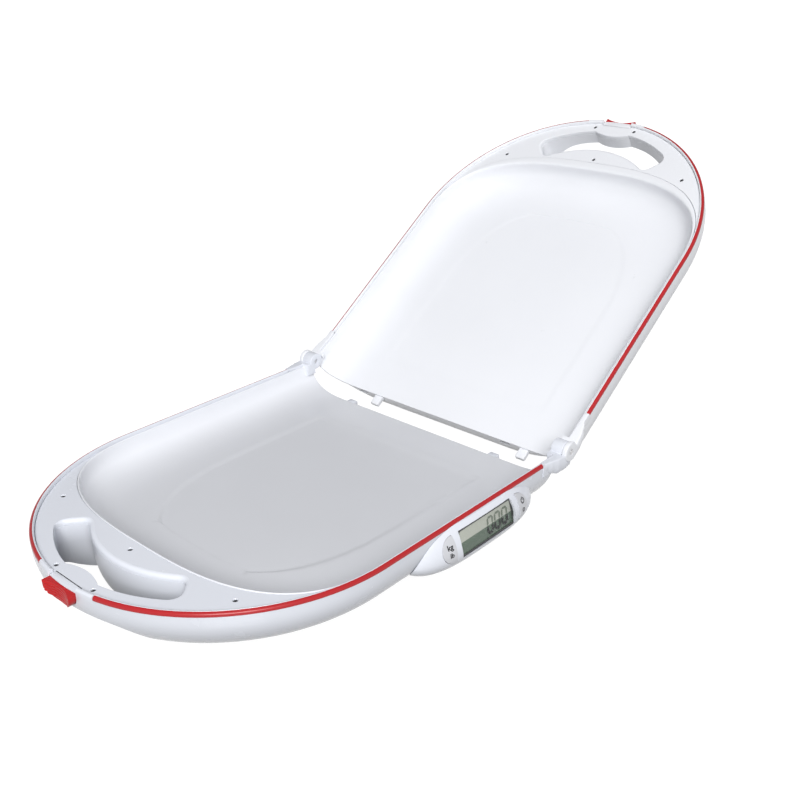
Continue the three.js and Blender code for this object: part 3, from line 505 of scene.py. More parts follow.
# The slot's wall: the same white, rougher, with painted shade laid on below.
slot_painted_shade = node_material("slot_plastic_painted_shade", WHITE, 0.42, grain=0.2, grain_scale=900, tint=0.02)
red = node_material(
    "red_trim_plastic", (0.45, 0.022, 0.026), 0.30, grain=0.05, coat=0.08, tint=0.05, Specular_IOR_Level=0.3,
)
latch_red = node_material(
    "latch_plastic", (0.50, 0.016, 0.018), 0.38, grain=0.10, coat=0.05, tint=0.06, Specular_IOR_Level=0.25,
)
button_grey = node_material("button_plastic", (0.60, 0.61, 0.64), 0.30, grain=0.08, coat=0.2, tint=0.02)
ink = node_material("ink", (0.012, 0.012, 0.014), 0.5, grain=0.05, tint=0.1)
steel = node_material(
    "steel", (0.52, 0.52, 0.53), 0.34, metallic=1.0, grain=0.35, grain_scale=2500, tint=0.08,
)
dark_steel = node_material(
    "dark_steel", (0.20, 0.20, 0.21), 0.42, metallic=1.0, grain=0.3, grain_scale=2500, tint=0.1,
)
nickel = node_material(
    "nickel", (0.63, 0.60, 0.54), 0.28, metallic=1.0, grain=0.2, grain_scale=2500, tint=0.06,
)
rubber = node_material("rubber", (0.035, 0.035, 0.038), 0.75, grain=0.5, grain_scale=1600, tint=0.12)
jacket = node_material("battery_jacket", (0.025, 0.026, 0.03), 0.35, grain=0.05, coat=0.2, tint=0.1)
board = node_material("board_green", (0.02, 0.13, 0.05), 0.45, grain=0.3, grain_scale=700, tint=0.15)
faint_ink = node_material("faint_ink", (0.17, 0.20, 0.16), 0.5, grain=0.05, tint=0.08)
frame_dark = node_material("display_frame", (0.035, 0.036, 0.038), 0.35, grain=0.05, tint=0.1)
glass = node_material("display_clear", (0.45, 0.48, 0.46), 0.05, tint=0.01, Alpha=0.03, IOR=1.5)
lcd = node_material("liquid_crystal", (0.46, 0.48, 0.42), 0.22, grain=0.04, tint=0.03)
# Painted reflection: the liquid crystal is darker in a low band and full colour above it.
painted_light_by_height(lcd, ((0.0352, (0.20, 0.28, 0.23)), (0.0360, (0.26, 0.34, 0.28)), (0.0364, (1, 1, 1))))
# Painted shade: the hand slot's wall darkens towards the bottom of the deep slot.
painted_light_by_height(slot_painted_shade, ((0.004, (0.46, 0.46, 0.46)), (0.030, (0.66, 0.66, 0.66)), (0.047, (1, 1, 1))))
# Painted shade: the dish darkens from its walls down to its floor.
painted_light_by_height(tray_painted_light_shade, ((0.0218, (0.79, 0.79, 0.79)), (0.0235, (0.83, 0.83, 0.83)), (0.036, (1, 1, 1))))


# ---- Trays -------------------------------------------------------------------
def smoothstep(value):
    t = max(0.0, min(1.0, value))
    return t * t * (3 - 2 * t)


PANEL = {"base": (292, 1.1), "lid": (286, 0.4)}  # where the floor's panel ends, and its depth
PANEL_START, PANEL_CENTRE, PANEL_HALF, PANEL_POWER, PANEL_STEP = 46, 150, 101, 2.6, 2.2


def floor_relief(x, y, front, depth):
    """A shallow panel let into the tray's floor, as a depth below it."""
    along = (x - PANEL_CENTRE) / (front - PANEL_CENTRE) if x > PANEL_CENTRE else 0.0
    across = abs(y) / PANEL_HALF
    edge = (max(0.0, along) ** PANEL_POWER + across ** PANEL_POWER) ** (1 / PANEL_POWER)
    inside = (1 - edge) * PANEL_HALF
    return depth * smoothstep(min(inside, x - PANEL_START) / PANEL_STEP + 0.5)


def tray_line(name, front_inset, side_inset, straight_steps=60, nose_steps=84):
    """The tray's outline as an open line: hinge end, near side, nose, far side, hinge end."""
    nose, half = TRAY[name][0] - front_inset, TRAY_HALF - side_inset
    near = [(END_GAP + (TRAY_CENTRE - END_GAP) * i / straight_steps, -half) for i in range(straight_steps)]
    front = []
    for i in range(nose_steps + 1):
        turn = math.pi * (i / nose_steps - 0.5)
        x = TRAY_CENTRE + nose * power(math.cos(turn), 2 / TRAY_POWER)
        front.append((x, half * power(math.sin(turn), 2 / TRAY_POWER)))
    return near + front + [(x, -y) for x, y in reversed(near)]


# Front inset, side inset and height over LIP_TOP, from the lip's outer edge over its roll.
LIP_ROLL = {
    "base": (
        (0, 0, -1.3), (0, 0, -0.5), (0.12, 0.1, -0.15), (0.3, 0.3, 0), (0.5, 0.5, 0), (0.8, 0.7, -0.05),
        (1.1, 0.95, -0.15), (1.4, 1.2, -0.45), (1.7, 1.45, -1.0), (1.9, 1.65, -1.9), (2.0, 1.8, -3.2),
    ),
    "lid": (
        (0, 0, -1.3), (0, 0, -0.5), (0.25, 0.1, -0.15), (0.8, 0.3, 0), (3.5, 0.6, 0), (6.2, 0.85, 0),
        (7.6, 1.0, -0.12), (8.7, 1.15, -0.5), (9.45, 1.35, -1.15), (9.85, 1.55, -2.1), (10.02, 1.8, -3.4),
    ),
}


def tray_rings(name, steps=26):
    rings = [(front, side, LIP_TOP + z) for front, side, z in LIP_ROLL[name]]
    for i in range(1, steps + 1):
        across, down = tray_curve(math.pi / 2 * (0.04 + 0.96 * i / steps))
        inset = TRAY_CURVE * across
        rings.append((TRAY[name][1] + inset, LIP_SIDE + inset, LIP_TOP + (TRAY_FLOOR - LIP_TOP) * down))
    return rings


def tray_mesh(name):
    """A dish that is open at the hinge end, with a panel let into its floor."""
    loops = [level(tray_line(name, front, side), z) for front, side, z in tray_rings(name)]
    count = len(loops[0])
    points = [p for loop in loops for p in loop]
    faces = []
    for i in range(len(loops) - 1):
        for j in range(count - 1):
            a = i * count + j
            faces.append((a, a + 1, a + 1 + count, a + count))
    half, last, across = count // 2, (len(loops) - 1) * count, 88
    front, depth = PANEL[name]
    grid = []
    for j in range(half):
        near, far = points[last + j], points[last + count - 1 - j]
        row = [last + j]
        for k in range(1, across):
            t = k / across
            x, y = near[0] + (far[0] - near[0]) * t, near[1] + (far[1] - near[1]) * t
            points.append((x, y, TRAY_FLOOR - floor_relief(x, y, front, depth)))
            row.append(len(points) - 1)
        row.append(last + count - 1 - j)
        grid.append(row)
    for j in range(half - 1):
        for k in range(across):
            faces.append((grid[j][k], grid[j + 1][k], grid[j + 1][k + 1], grid[j][k + 1]))
    tip = last + half
    for k in range(across):
        faces.append((grid[half - 1][k], tip, grid[half - 1][k + 1]))
    mesh = mesh_of(points, faces)
    return evaluated(mesh, [("SOLIDIFY", {"thickness": TRAY_SKIN, "offset": -1.0})])


# ---- Decks and hand slots ----------------------------------------------------
SLOT_FILLET, OUTER_FILLET = 3.6, 0.7


def deck_plate(name):
    plate = prism(shell_outline(BEAD_WIDTH + 0.4, END_GAP, 1), DECK_TOP - DECK_SKIN, DECK_TOP)
    room = LATCH_HALF + LATCH_ROOM
    away = [
        prism(tray_outline(name, -0.4, -0.4, BEHIND), -12, ABOVE),
        block((BEHIND, -HALF_WIDTH - 5, BELOW), (DECK_START, HALF_WIDTH + 5, ABOVE)),
        prism(slot_outline(SLOT_FILLET, OUTER_FILLET), BELOW, ABOVE),
        block((LATCH_POCKET, -room, -30), (STRAIGHT + NOSE, room, ABOVE)),
    ]
    away += [prism(circle(x, y, SCREW_HOLE), -10, ABOVE) for x, y in SCREW_SPOTS]
    return cut(plate, away)


def latch_cover():
    """The deck's tongue over the latch, out to the rim."""
    plate = prism(shell_outline(0.6, END_GAP, 1), DECK_TOP - 1.2, DECK_TOP)
    tongue = block((LATCH_POCKET - 1, 0.3 - LATCH_HALF, -10), (STRAIGHT + NOSE, LATCH_HALF - 0.3, 0))
    return bevelled(common(plate, [tongue]), 0.25, 2)


def slot_tube():
    """The slot's rolled edge, its parting line and its wall, with the wall's own thickness."""
    profile = []
    for i in range(9):
        t = math.pi / 2 * i / 8
        out, down = 1 - math.sin(t), 1 - math.cos(t)
        profile.append((SLOT_FILLET * out, OUTER_FILLET * out, DECK_TOP - SLOT_FILLET * down))
    seam = DECK_TOP - SLOT_FILLET - 0.5
    profile += [(0, 0, seam), (0.45, 0.45, seam - 0.1), (0.45, 0.45, seam - 0.5), (0, 0, seam - 0.6)]
    profile += [(0, 0, z) for z in reversed(SLOT_HEIGHTS)]
    profile += [(SLOT_WALL, SLOT_WALL, z) for z in (*SLOT_HEIGHTS, DECK_TOP - 5)]
    profile += [(SLOT_FILLET, SLOT_WALL, DECK_TOP - 2)]
    loops = [level(slot_outline(inner, outer, slot_recess(z)), z) for inner, outer, z in profile]
    tube = loft(list(reversed(loops + loops[:1])), capped=False)
    kept = common(tube, [shell_solid(SKIN_INSET - 0.02, 0)])
    return cut(kept, [grip_notch(0)])


def screw_seats():
    """The countersunk rim round each deck screw."""
    deep = DECK_TOP - DECK_SKIN
    outside = [(2.3, DECK_TOP), (SCREW_HOLE, DECK_TOP), (SCREW_HOLE, deep)]
    profile = [outside[-1], (1.95, deep), (1.95, DECK_TOP - 0.4), *outside]
    return [loft([level(circle(x, y, r), z) for r, z in profile], capped=False) for x, y in SCREW_SPOTS]


def screw_mesh(x, y):
    """A screw with a cross slot; its profile gives radii and depths under the deck's top."""
    profile = ((0.85, 10), (0.85, 1.9), (1.75, 1.6), (1.8, 1.1), (1.6, 0.8), (1.0, 0.62))
    head = lathe([(radius, DECK_TOP - deep) for radius, deep in profile], 28)
    long, narrow, deep = 1.1, 0.22, DECK_TOP - 1.35
    slots = [block((-a, -b, deep), (a, b, 0)) for a, b in ((long, narrow), (narrow, long))]
    return placed(cut(head, slots), Matrix.Translation((x, y, 0)))


# ---- Rims and trims ----------------------------------------------------------
LATCH_BEAD = (
    (0, -6.5), (0, -1.8), (0.12, -1.52), (0.42, -1.08), (0.95, -0.62), (1.55, RIM_TOP), (2.1, RIM_TOP),
    (2.7, RIM_TOP), (3.2, -0.52), (3.65, -0.95), (3.9, -1.4), (BEAD_WIDTH, -1.9), (BEAD_WIDTH, -6.5),
)
TRIM_SECTION = (
    (0, BEAD_BASE), (0, -2.4), (0.1, -1.98), (0.3, -1.6), (0.62, -1.22), (1, -0.92), (1.4, -0.68),
    (1.8, -0.51), (2.2, -0.43), (TRIM_WIDTH, -0.4), (TRIM_WIDTH, BEAD_BASE),
)
INNER_RIM = (
    (0.8, -6.5), (0.8, RIM_BASE - GAP), (TRIM_WIDTH + 0.1, RIM_BASE - GAP), (TRIM_WIDTH + 0.1, -0.5),
    (TRIM_WIDTH + 0.25, RIM_TOP), (3.3, RIM_TOP), (3.6, -0.5), (3.85, -0.95), (BEAD_WIDTH, -1.6),
    (BEAD_WIDTH, -6.5),
)


def rim_loop(section, turn, side, along=None):
    points = []
    for inset, z in section:
        x = along if along is not None else STRAIGHT + (NOSE - inset) * math.sin(turn)
        points.append((x, side * (HALF_WIDTH - inset) * math.cos(turn), z))
    return points if side > 0 else list(reversed(points))


def rim(section, side, start, from_turn, to_turn, steps):
    """A section swept along one side, from a start on the straight stretch or round the nose only."""
    loops = []
    if start is not None:
        loops += [rim_loop(section, 0, side, start + (STRAIGHT - start) * i / 24) for i in range(24)]
    turns = [from_turn + (to_turn - from_turn) * i / steps for i in range(steps + 1)]
    loops += [rim_loop(section, turn, side) for turn in turns]
    return loft(loops)


TRIM_END_TURN = math.acos(TRIM_END_Y / HALF_WIDTH)
LATCH_TURN = math.acos((LATCH_HALF + GAP + 0.2) / HALF_WIDTH)


def trim_mesh(side, start):
    return rim(TRIM_SECTION, side, start, 0, TRIM_END_TURN, 72)


# ---- Hinge -------------------------------------------------------------------
def side_block(side, a, b):
    y0, y1 = sorted((side * a[1], side * b[1]))
    return block((a[0], y0, a[2]), (b[0], y1, b[2]))


def side_roller(side, y0, y1, radius, rounding=0.0):
    a, b = sorted((side * y0, side * y1))
    return roller(a, b, radius, rounding)


def cheek(side, stations, steps=5):
    """A cheek beside the hinge, lofted through stations along the half."""
    fine = []
    for (x0, i0, o0, u0), (x1, i1, o1, u1) in zip(stations, stations[1:]):
        for k in range(steps):
            t = k / steps
            s = smoothstep(t) if abs(i1 - i0) < 0.1 else t
            fine.append((x0 + (x1 - x0) * t, i0 + (i1 - i0) * t, o0 + (o1 - o0) * s, u0 + (u1 - u0) * s))
    fine.append(stations[-1])
    loops = []
    for x, inner, outer, under in fine:
        section = [(inner, RIM_TOP), (inner, under)]
        for k in range(9):
            t = math.pi / 2 * k / 8
            section.append((outer - 2.6 + 2.6 * math.sin(t), under * (1 - 0.55 * (1 - math.cos(t)))))
        rounding = ((0, 1.2), (0.25, 0.5), (0.7, 0.1), (1.2, 0))
        section += [(outer - inward, RIM_TOP - down) for inward, down in rounding]
        loop = [(x, side * y, z) for y, z in section]
        loops.append(loop if side > 0 else list(reversed(loop)))
    return loft(loops)


# Along the half: place, inner face, outer face and underside.
BASE_CHEEK = [
    (0.3, 161, 171, -13.4), (6, 161, 171, -14.8), (16, 161, 170, -15.6), (24, 161, 168.2, -13.4),
    (30, 161, 166.6, -9.4), (34.7, 161, 165.3, -4.6),
]
LID_CHEEK = [
    (0.6, CHEEK_INNER, 171, -11.4), (9.6, CHEEK_INNER, 171, -11.6), (9.9, 161, 171, -11.6),
    (20, 161, 169.8, -11.2), (28, 161, 167.6, -6.5), (34, 161, 165.2, -3),
]


def hinge_arm(side, start, depth, trim_start):
    """A short arm that carries a knuckle, and the rail beside the tray that joins it to the rim."""
    arm = side_block(side, (start, ARM_INNER, -depth), (ARM_END, ARM_OUTER - 0.4, RIM_TOP))
    rail = side_block(side, (start, RAIL_INNER, -depth), (trim_start - GAP, ARM_OUTER - 0.4, RIM_TOP))
    return combined(arm, [rail], "UNION")


def base_hinge(side):
    arm = hinge_arm(side, 2, ARM_DEPTH, TRIM_START["base"])
    lobe = cheek(side, BASE_CHEEK)
    free = side_roller(side, CHEEK_INNER - GAP, CHEEK_OUTER + 3, CHEEK_RADIUS + GAP)
    barrel = side_roller(side, ARM_INNER, ARM_OUTER, BARREL_RADIUS, 0.7)
    hole = side_roller(side, ARM_INNER - 2, CHEEK_OUTER + 5, PIN_RADIUS + 0.05)
    solid = cut(combined(arm, [lobe], "UNION"), [free])
    return cut(combined(solid, [barrel], "UNION"), [hole])


def lid_hinge(side):
    strip = hinge_arm(side, BARREL_RADIUS + 0.7, 6, TRIM_START["lid"])
    knuckle = side_roller(side, CHEEK_INNER, CHEEK_OUTER, CHEEK_RADIUS, 1.1)
    solid = combined(strip, [cheek(side, LID_CHEEK), knuckle], "UNION")
    hole = side_roller(side, ARM_INNER - 2, CHEEK_OUTER + 5, PIN_RADIUS + 0.05)
    clear = side_roller(side, ARM_INNER - GAP, ARM_OUTER + GAP / 2, BARREL_RADIUS + 0.5)
    return cut(solid, [hole, clear])


# ---- Latches -----------------------------------------------------------------
def latch_face(grow, steps=48):
    points = [(-LATCH_HALF - grow, LATCH_TOP + grow)]
    shoulder = LATCH_TOP - 2
    for i in range(steps + 1):
        turn = math.pi * (1 + i / steps)
        drop = (shoulder - LATCH_BOTTOM + grow) * power(math.sin(turn), 0.8)
        points.append(((LATCH_HALF + grow) * power(math.cos(turn), 0.8), shoulder + drop))
    points.append((LATCH_HALF + grow, LATCH_TOP + grow))
    return points


def latch_blank(grow, x0, x1):
    face = latch_face(grow)
    return loft([[(x, y, z) for y, z in face] for x in (x0, x1)])


def latch_scoop():
    """An upright ribbed barrel that shapes the thumb face."""
    top = LATCH_TOP - 0.9
    pitch = (top - LATCH_BOTTOM - 1.4) / LATCH_RIBS
    profile = [(LATCH_SCOOP_RADIUS, 3), (LATCH_SCOOP_RADIUS, top)]
    for i in range(LATCH_RIBS):
        for k in range(1, 7):
            t = k / 6
            profile.append((LATCH_SCOOP_RADIUS - 0.75 * math.sin(math.pi * t) ** 0.8, top - pitch * (i + t)))
    profile += [(LATCH_SCOOP_RADIUS - 2, LATCH_BOTTOM - 5)]
    centre = LATCH_FACE - LATCH_SCOOP + LATCH_SCOOP_RADIUS
    return loft([level(circle(centre, 0, r, 220), z) for r, z in reversed(profile)])


def latch_mesh():
    stem = block((LATCH_INNER - 8, -5, -14), (LATCH_INNER + 1, 5, -9))
    carved = cut(latch_blank(0, LATCH_INNER, LATCH_FACE), [latch_scoop()])
    return combined(carved, [stem], "UNION")


def latch_pocket():
    return [
        latch_blank(GAP, LATCH_POCKET, LATCH_FACE + 2),
        block((LATCH_POCKET, -LATCH_HALF - GAP, LATCH_TOP), (LATCH_FACE, LATCH_HALF + GAP, 5)),
    ]


# ---- Shells ------------------------------------------------------------------
BAY_X, BAY_HALF_X, BAY_HALF_Y, BAY_LEDGE, BAY_PAD = 128, 25, 25.5, 1.6, 31
DOOR_HALF_X, DOOR_HALF_Y, DOOR_TOP, DOOR_TRAVEL = 27, 28, -48.2, 32
TAB_ROOM = 0.6


def battery_openings():
    """The bay's opening and the recess that the door slides in."""
    x, y = BAY_HALF_X - BAY_LEDGE, BAY_HALF_Y - BAY_LEDGE
    near, far = BAY_X - DOOR_HALF_X - GAP, BAY_X + DOOR_HALF_X + DOOR_TRAVEL
    return [
        block((BAY_X - x, -y, BELOW), (BAY_X + x, y, -40)),
        block((near, -DOOR_HALF_Y - GAP, BELOW), (far, DOOR_HALF_Y + GAP, DOOR_TOP + GAP)),
    ]


def shell_mesh(name):
    wall = WALL[name]
    skin = cut(shell_solid(SKIN_INSET, RIM_BASE), [grip_notch(0)])
    hollow = cut(shell_solid(wall, RIM_BASE + 1), [grip_notch(wall)])
    shell = cut(skin, [hollow])
    if name == "base":
        pad = block((BAY_X - BAY_PAD, -BAY_PAD, -48.5), (BAY_X + BAY_PAD + DOOR_TRAVEL, BAY_PAD, -46.2))
        shell = combined(shell, [pad], "UNION")
    away = [tray_body(name, TRAY_SKIN + GAP, BEHIND, ABOVE), slot_body(2.3, ABOVE), *latch_pocket()]
    slot_end, tab_end = END_GAP + wall + 3, END_GAP + wall - 0.2
    half = TAB_HALF + TAB_ROOM
    tabs = []
    for y in TAB_SPOTS:
        away.append(block((-1, -y - half, TAB_BOTTOM - 1.4), (slot_end, -y + half, -32.5)))
        tab = block((-TAB_REACH, y - TAB_HALF, TAB_BOTTOM), (tab_end, y + TAB_HALF, TAB_TOP))
        tabs.append(bevelled(tab, 0.7))
    if name == "base":
        away += battery_openings()
    shell = cut(shell, away)
    seam = TRIM_END_TURN + 0.003
    beads = [rim(LATCH_BEAD, side, None, seam, LATCH_TURN, 24) for side in (-1, 1)]
    rims = [cut(bead, latch_pocket()) for bead in beads]
    rims += [rim(INNER_RIM, side, TRIM_START[name] - 1, 0, seam, 72) for side in (-1, 1)]
    hinges = [base_hinge(side) if name == "base" else lid_hinge(side) for side in (-1, 1)]
    hinges = [bevelled(hinge, 0.35, 2) for hinge in hinges]
    return joined([shell, *tabs, *rims, *hinges])


# ---- Display -----------------------------------------------------------------
POD_SPOT = Matrix.Translation((POD_CENTRE, POD_OUT, POD_DROP))
POD_FACE = BODY @ POD_SPOT @ Matrix.Rotation(math.pi / 2 - POD_TILT, 4, "X")
FACE_TO_BODY = BODY.inverted() @ POD_FACE
POD_POWER, POD_ROOT, POD_UNDER = 3.2, 1 / 2.4, 0.74
BUTTON_START, BUTTON_REACH, BUTTON_HALF = 41.5, 13.5, 11.4
BUTTON_PROUD, PRINT_LIFT, PRINT_THICK = 0.7, 0.12, 0.1


def pod_mesh(inset, stations=72, sides=112):
    """A bar with round ends along X, flatter underneath."""
    axis_y = POD_OUT + math.cos(POD_TILT) * POD_RADIUS
    axis_z = POD_DROP - math.sin(POD_TILT) * POD_RADIUS
    loops = []
    for i in range(stations + 1):
        along = math.sin(math.pi / 2 * (-0.985 + 1.97 * i / stations))
        radius = max(1.0, (POD_RADIUS - inset) * (1 - abs(along) ** POD_POWER) ** POD_ROOT)
        loop = []
        for j in range(sides):
            turn = 2 * math.pi * j / sides
            low = POD_UNDER if math.sin(turn) < 0 else 1.0
            loop.append((
                POD_CENTRE + along * (POD_HALF - inset),
                axis_y + radius * math.cos(turn),
                axis_z + radius * math.sin(turn) * low,
            ))
        loops.append(loop)
    return loft(loops)


def face_prism(outline):
    """A cutting prism through the display's face."""
    return placed(prism(outline, -14, 12), FACE_TO_BODY)


def window_outline(grow, steps=14):
    """A rectangle whose short ends bulge out a little."""
    x, y, bulge = WINDOW_LENGTH / 2 + grow, WINDOW_HEIGHT / 2 + grow, 1.6
    right = []
    for i in range(steps + 1):
        turn = math.pi * (i / steps - 0.5)
        right.append((x - bulge + bulge * math.cos(turn), y * (2 * i / steps - 1)))
    return right + [(-a, -b) for a, b in right]


def button_outline(side, grow, steps=40):
    """A key that is flat beside the window and round towards the bar's end."""
    points = []
    for i in range(steps + 1):
        turn = math.pi * (i / steps - 0.5)
        x = BUTTON_START - grow + (BUTTON_REACH + 2 * grow) * math.cos(turn)
        points.append((side * x, (BUTTON_HALF + grow) * math.sin(turn)))
    return points if side > 0 else list(reversed(points))


def pod_housing():
    shell = placed(shell_solid(-GAP, RIM_BASE), Matrix.Rotation(math.pi, 4, "Z"))
    away = [
        pod_mesh(2.2, 48, 64), shell, block((-400, -220, RIM_BASE + 1.2), (0, 0, 40)),
        block((-400, -HALF_WIDTH - GAP, BEAD_BASE - 0.9), (0, 0, 40)),
    ]
    holes = (window_outline(GAP), button_outline(-1, GAP), button_outline(1, GAP))
    away += [face_prism(hole) for hole in holes]
    return bevelled(largest(cut(pod_mesh(0), away)), 0.45, 3, 40)


def window_mesh():
    slab = cut(pod_mesh(-0.25), [pod_mesh(1.5)])
    return bevelled(common(slab, [face_prism(window_outline(0))]), 0.3, 2, 40)


def button_mesh(side):
    cap = cut(pod_mesh(-BUTTON_PROUD), [pod_mesh(2.6)])
    return bevelled(common(cap, [face_prism(button_outline(side, 0))]), 0.7, 4, 40)


LEAN = math.tan(math.radians(9))
LCD_HALF, LCD_BACK, LCD_FRONT = (35.5, 10.6), -7.2, -4.5
DIGIT_SPOT, DIGIT_PITCH, DIGIT_WIDTH, DIGIT_HEIGHT = (2.4, -6.4), 9.6, 6.2, 12.6
INK_DEPTH, INK_THICK, LOWER_BAR, UPPER_BAR = LCD_FRONT + 0.25, 0.12, 2.3, 1.8


def segment(a, b, width):
    """One bar of a digit with pointed ends, leaning right."""
    ax, ay = a
    bx, by = b
    length = math.hypot(bx - ax, by - ay)
    ux, uy = (bx - ax) / length, (by - ay) / length
    nx, ny = -uy * width / 2, ux * width / 2
    gap = width * 0.14
    full = gap + width / 2
    points = [
        (ax + ux * gap, ay + uy * gap), (ax + ux * full - nx, ay + uy * full - ny),
        (bx - ux * full - nx, by - uy * full - ny), (bx - ux * gap, by - uy * gap),
        (bx - ux * full + nx, by - uy * full + ny), (ax + ux * full + nx, ay + uy * full + ny),
    ]
    return [(x + y * LEAN, y) for x, y in points]


def half_nought(left, upper, width):
    """The three bars of a nought's upper or lower half."""
    foot = DIGIT_SPOT[1]
    right, middle, top = left + DIGIT_WIDTH, foot + DIGIT_HEIGHT / 2, foot + DIGIT_HEIGHT
    low, high, edge = (middle, top, top) if upper else (foot, middle, foot)
    return [
        segment((left, edge), (right, edge), width),
        segment((left, low), (left, high), width), segment((right, low), (right, high), width),
    ]


def digits_mesh(upper, width):
    """The upper or the lower bars of three noughts."""
    bars = [bar for i in range(3) for bar in half_nought(DIGIT_SPOT[0] + i * DIGIT_PITCH, upper, width)]
    return joined([prism(bar, INK_DEPTH, INK_DEPTH + INK_THICK) for bar in bars])


def display_frame():
    """The dark mask round the liquid crystal, wider at the end beside the units button."""
    x, y = WINDOW_LENGTH / 2, WINDOW_HEIGHT / 2 - 1.5
    turns = [math.pi * (0.5 + k / 16) for k in range(17)]
    inside = [(4 - x + 2.4 * math.cos(t), y * math.sin(t)) for t in turns] + [(x - 1.2, -y), (x - 1.2, y)]
    return cut(prism(window_outline(0.2), -4.4, -3.9), [prism(inside, -6, -3)])


def text_mesh(words, size):
    """Generic unit letters as a thin raised print."""
    curve = bpy.data.curves.new("words", "FONT")
    curve.body = words
    curve.size = size
    curve.extrude = 0.08
    curve.offset = 0.14
    curve.align_x = "CENTER"
    holder = bpy.data.objects.new("words", curve)
    bpy.context.scene.collection.objects.link(holder)
    graph = bpy.context.evaluated_depsgraph_get()
    mesh = bpy.data.meshes.new_from_object(holder.evaluated_get(graph))
    bpy.data.objects.remove(holder)
    bpy.data.curves.remove(curve)
    return mesh


def ring_mesh(radius, width, start, end, steps=40):
    """A flat arc, such as a power symbol's open ring."""
    outer = arc(0, 0, radius + width / 2, start, end, steps, 0)
    inner = arc(0, 0, radius - width / 2, start, end, steps, 0)
    return prism(outer + inner[::-1], 0, PRINT_THICK)


def on_button(x, y):
    """The height of a button's skin above the display's face plane at a spot on the face."""
    along = abs(x) / (POD_HALF + BUTTON_PROUD)
    radius = (POD_RADIUS + BUTTON_PROUD) * (1 - along**POD_POWER) ** POD_ROOT
    return math.sqrt(max(0.0, radius * radius - y * y)) - POD_RADIUS


def mark(name, mesh, x, y, body):
    """A print laid over a button's curved skin."""
    for vertex in placed(mesh, Matrix.Translation((x, y, PRINT_LIFT))).vertices:
        vertex.co.z += on_button(vertex.co.x, vertex.co.y)
    piece(name, mesh, POD_FACE, body, ink)


# ---- Round pieces under the scale --------------------------------------------
def foot_mesh(x, y, radius):
    profile = [
        (radius - 2.4, FLOOR), (radius - 1.1, FLOOR), (radius - 0.35, FLOOR + 0.3), (radius, FLOOR + 1.1),
        (radius, FOOT_TOP - 0.4), (radius - 0.4, FOOT_TOP),
    ]
    return placed(lathe(profile, 56), Matrix.Translation((x, y, 0)))


def pin_mesh(side):
    return side_roller(side, ARM_INNER + 1, CHEEK_OUTER + 0.2, PIN_RADIUS - 0.02, 0.5)


def spring_mesh(turns=3, steps=28, sides=12):
    """A coil along X behind a latch, from its fixed end."""
    loops = []
    for i in range(turns * steps + 1):
        turn = 2 * math.pi * i / steps
        ring = []
        for k in range(sides):
            around = 2 * math.pi * k / sides
            out = SPRING_RADIUS + SPRING_WIRE * math.sin(around)
            along = SPRING_X + SPRING_PITCH * turn / (2 * math.pi) + SPRING_WIRE * math.cos(around)
            ring.append((along, out * math.cos(turn), SPRING_Z + out * math.sin(turn)))
        loops.append(ring)
    return loft(loops)


def build_spring(name, place):
    """The coil rides on its half."""
    made = piece(f"{name}_coil", spring_mesh(), place, name, steel, [f"{name}_latch_spring"])
    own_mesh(made)


# ---- Building ----------------------------------------------------------------
def build_half(name, place, shell_finish, tray_finish, slot_finish):
    def add(label, mesh, finish, node=None, body=name):
        piece(f"{name}_{label}", mesh, place, body, finish, [f"{name}_{node}"] if node else ())

    add("shell_skin", shell_mesh(name), shell_finish, "shell")
    add("dish", tray_mesh(name), tray_finish, "tray")
    deck = joined([deck_plate(name), latch_cover(), *screw_seats()])
    add("deck", deck, shell_finish, "handle_deck")
    add("slot_wall", slot_tube(), slot_finish)
    near = 1 if name == "base" else -1
    for side, label in ((near, "near"), (-near, "far")):
        add(f"bead_{label}", trim_mesh(side, TRIM_START[name]), red, f"trim_{label}")
    latch = bevelled(latch_mesh(), 0.4, 3, 50)
    add("thumb_latch", latch, latch_red, "latch_button", f"{name}_latch")
    for i, (x, y) in enumerate(SCREW_SPOTS, 1):
        add(f"screw_{i}", screw_mesh(x, y), dark_steel, f"deck_screw_{i}")
    for x, y in FOOT_SPOTS:
        label = "near" if y * near > 0 else "far"
        add(f"sole_{label}", foot_mesh(x, y, FOOT_RADIUS), rubber, f"foot_{label}")


# The base's dish and slot carry painted light and shade, and the lid is painted lighter than the base.
build_half("base", BASE, white, tray_painted_light_shade, slot_painted_shade)
build_half("lid", LID, lid_painted_lighter_white, lid_painted_lighter_white, lid_painted_lighter_white)
build_spring("base", BASE)
build_spring("lid", LID)
for side, label in ((1, "near"), (-1, "far")):
    pad = foot_mesh(PAD_SPOT[0], side * PAD_SPOT[1], PAD_RADIUS)
    piece(f"pad_{label}", pad, BASE, "base", rubber, [f"support_pad_{label}"])
for side, label in ((-1, "near"), (1, "far")):
    piece(f"pin_{label}", pin_mesh(side), BODY, "base", steel, [f"hinge_pin_{label}"])

piece("display_pod", pod_housing(), BODY, "base", white, ["display_housing"])
piece("display_glass", window_mesh(), BODY, "base", glass, ["display_window"])
for side, label in ((-1, "units"), (1, "power")):
    key = button_mesh(side)
    piece(f"{label}_button", key, BODY, f"{label}_key", button_grey, [f"button_{label}"])

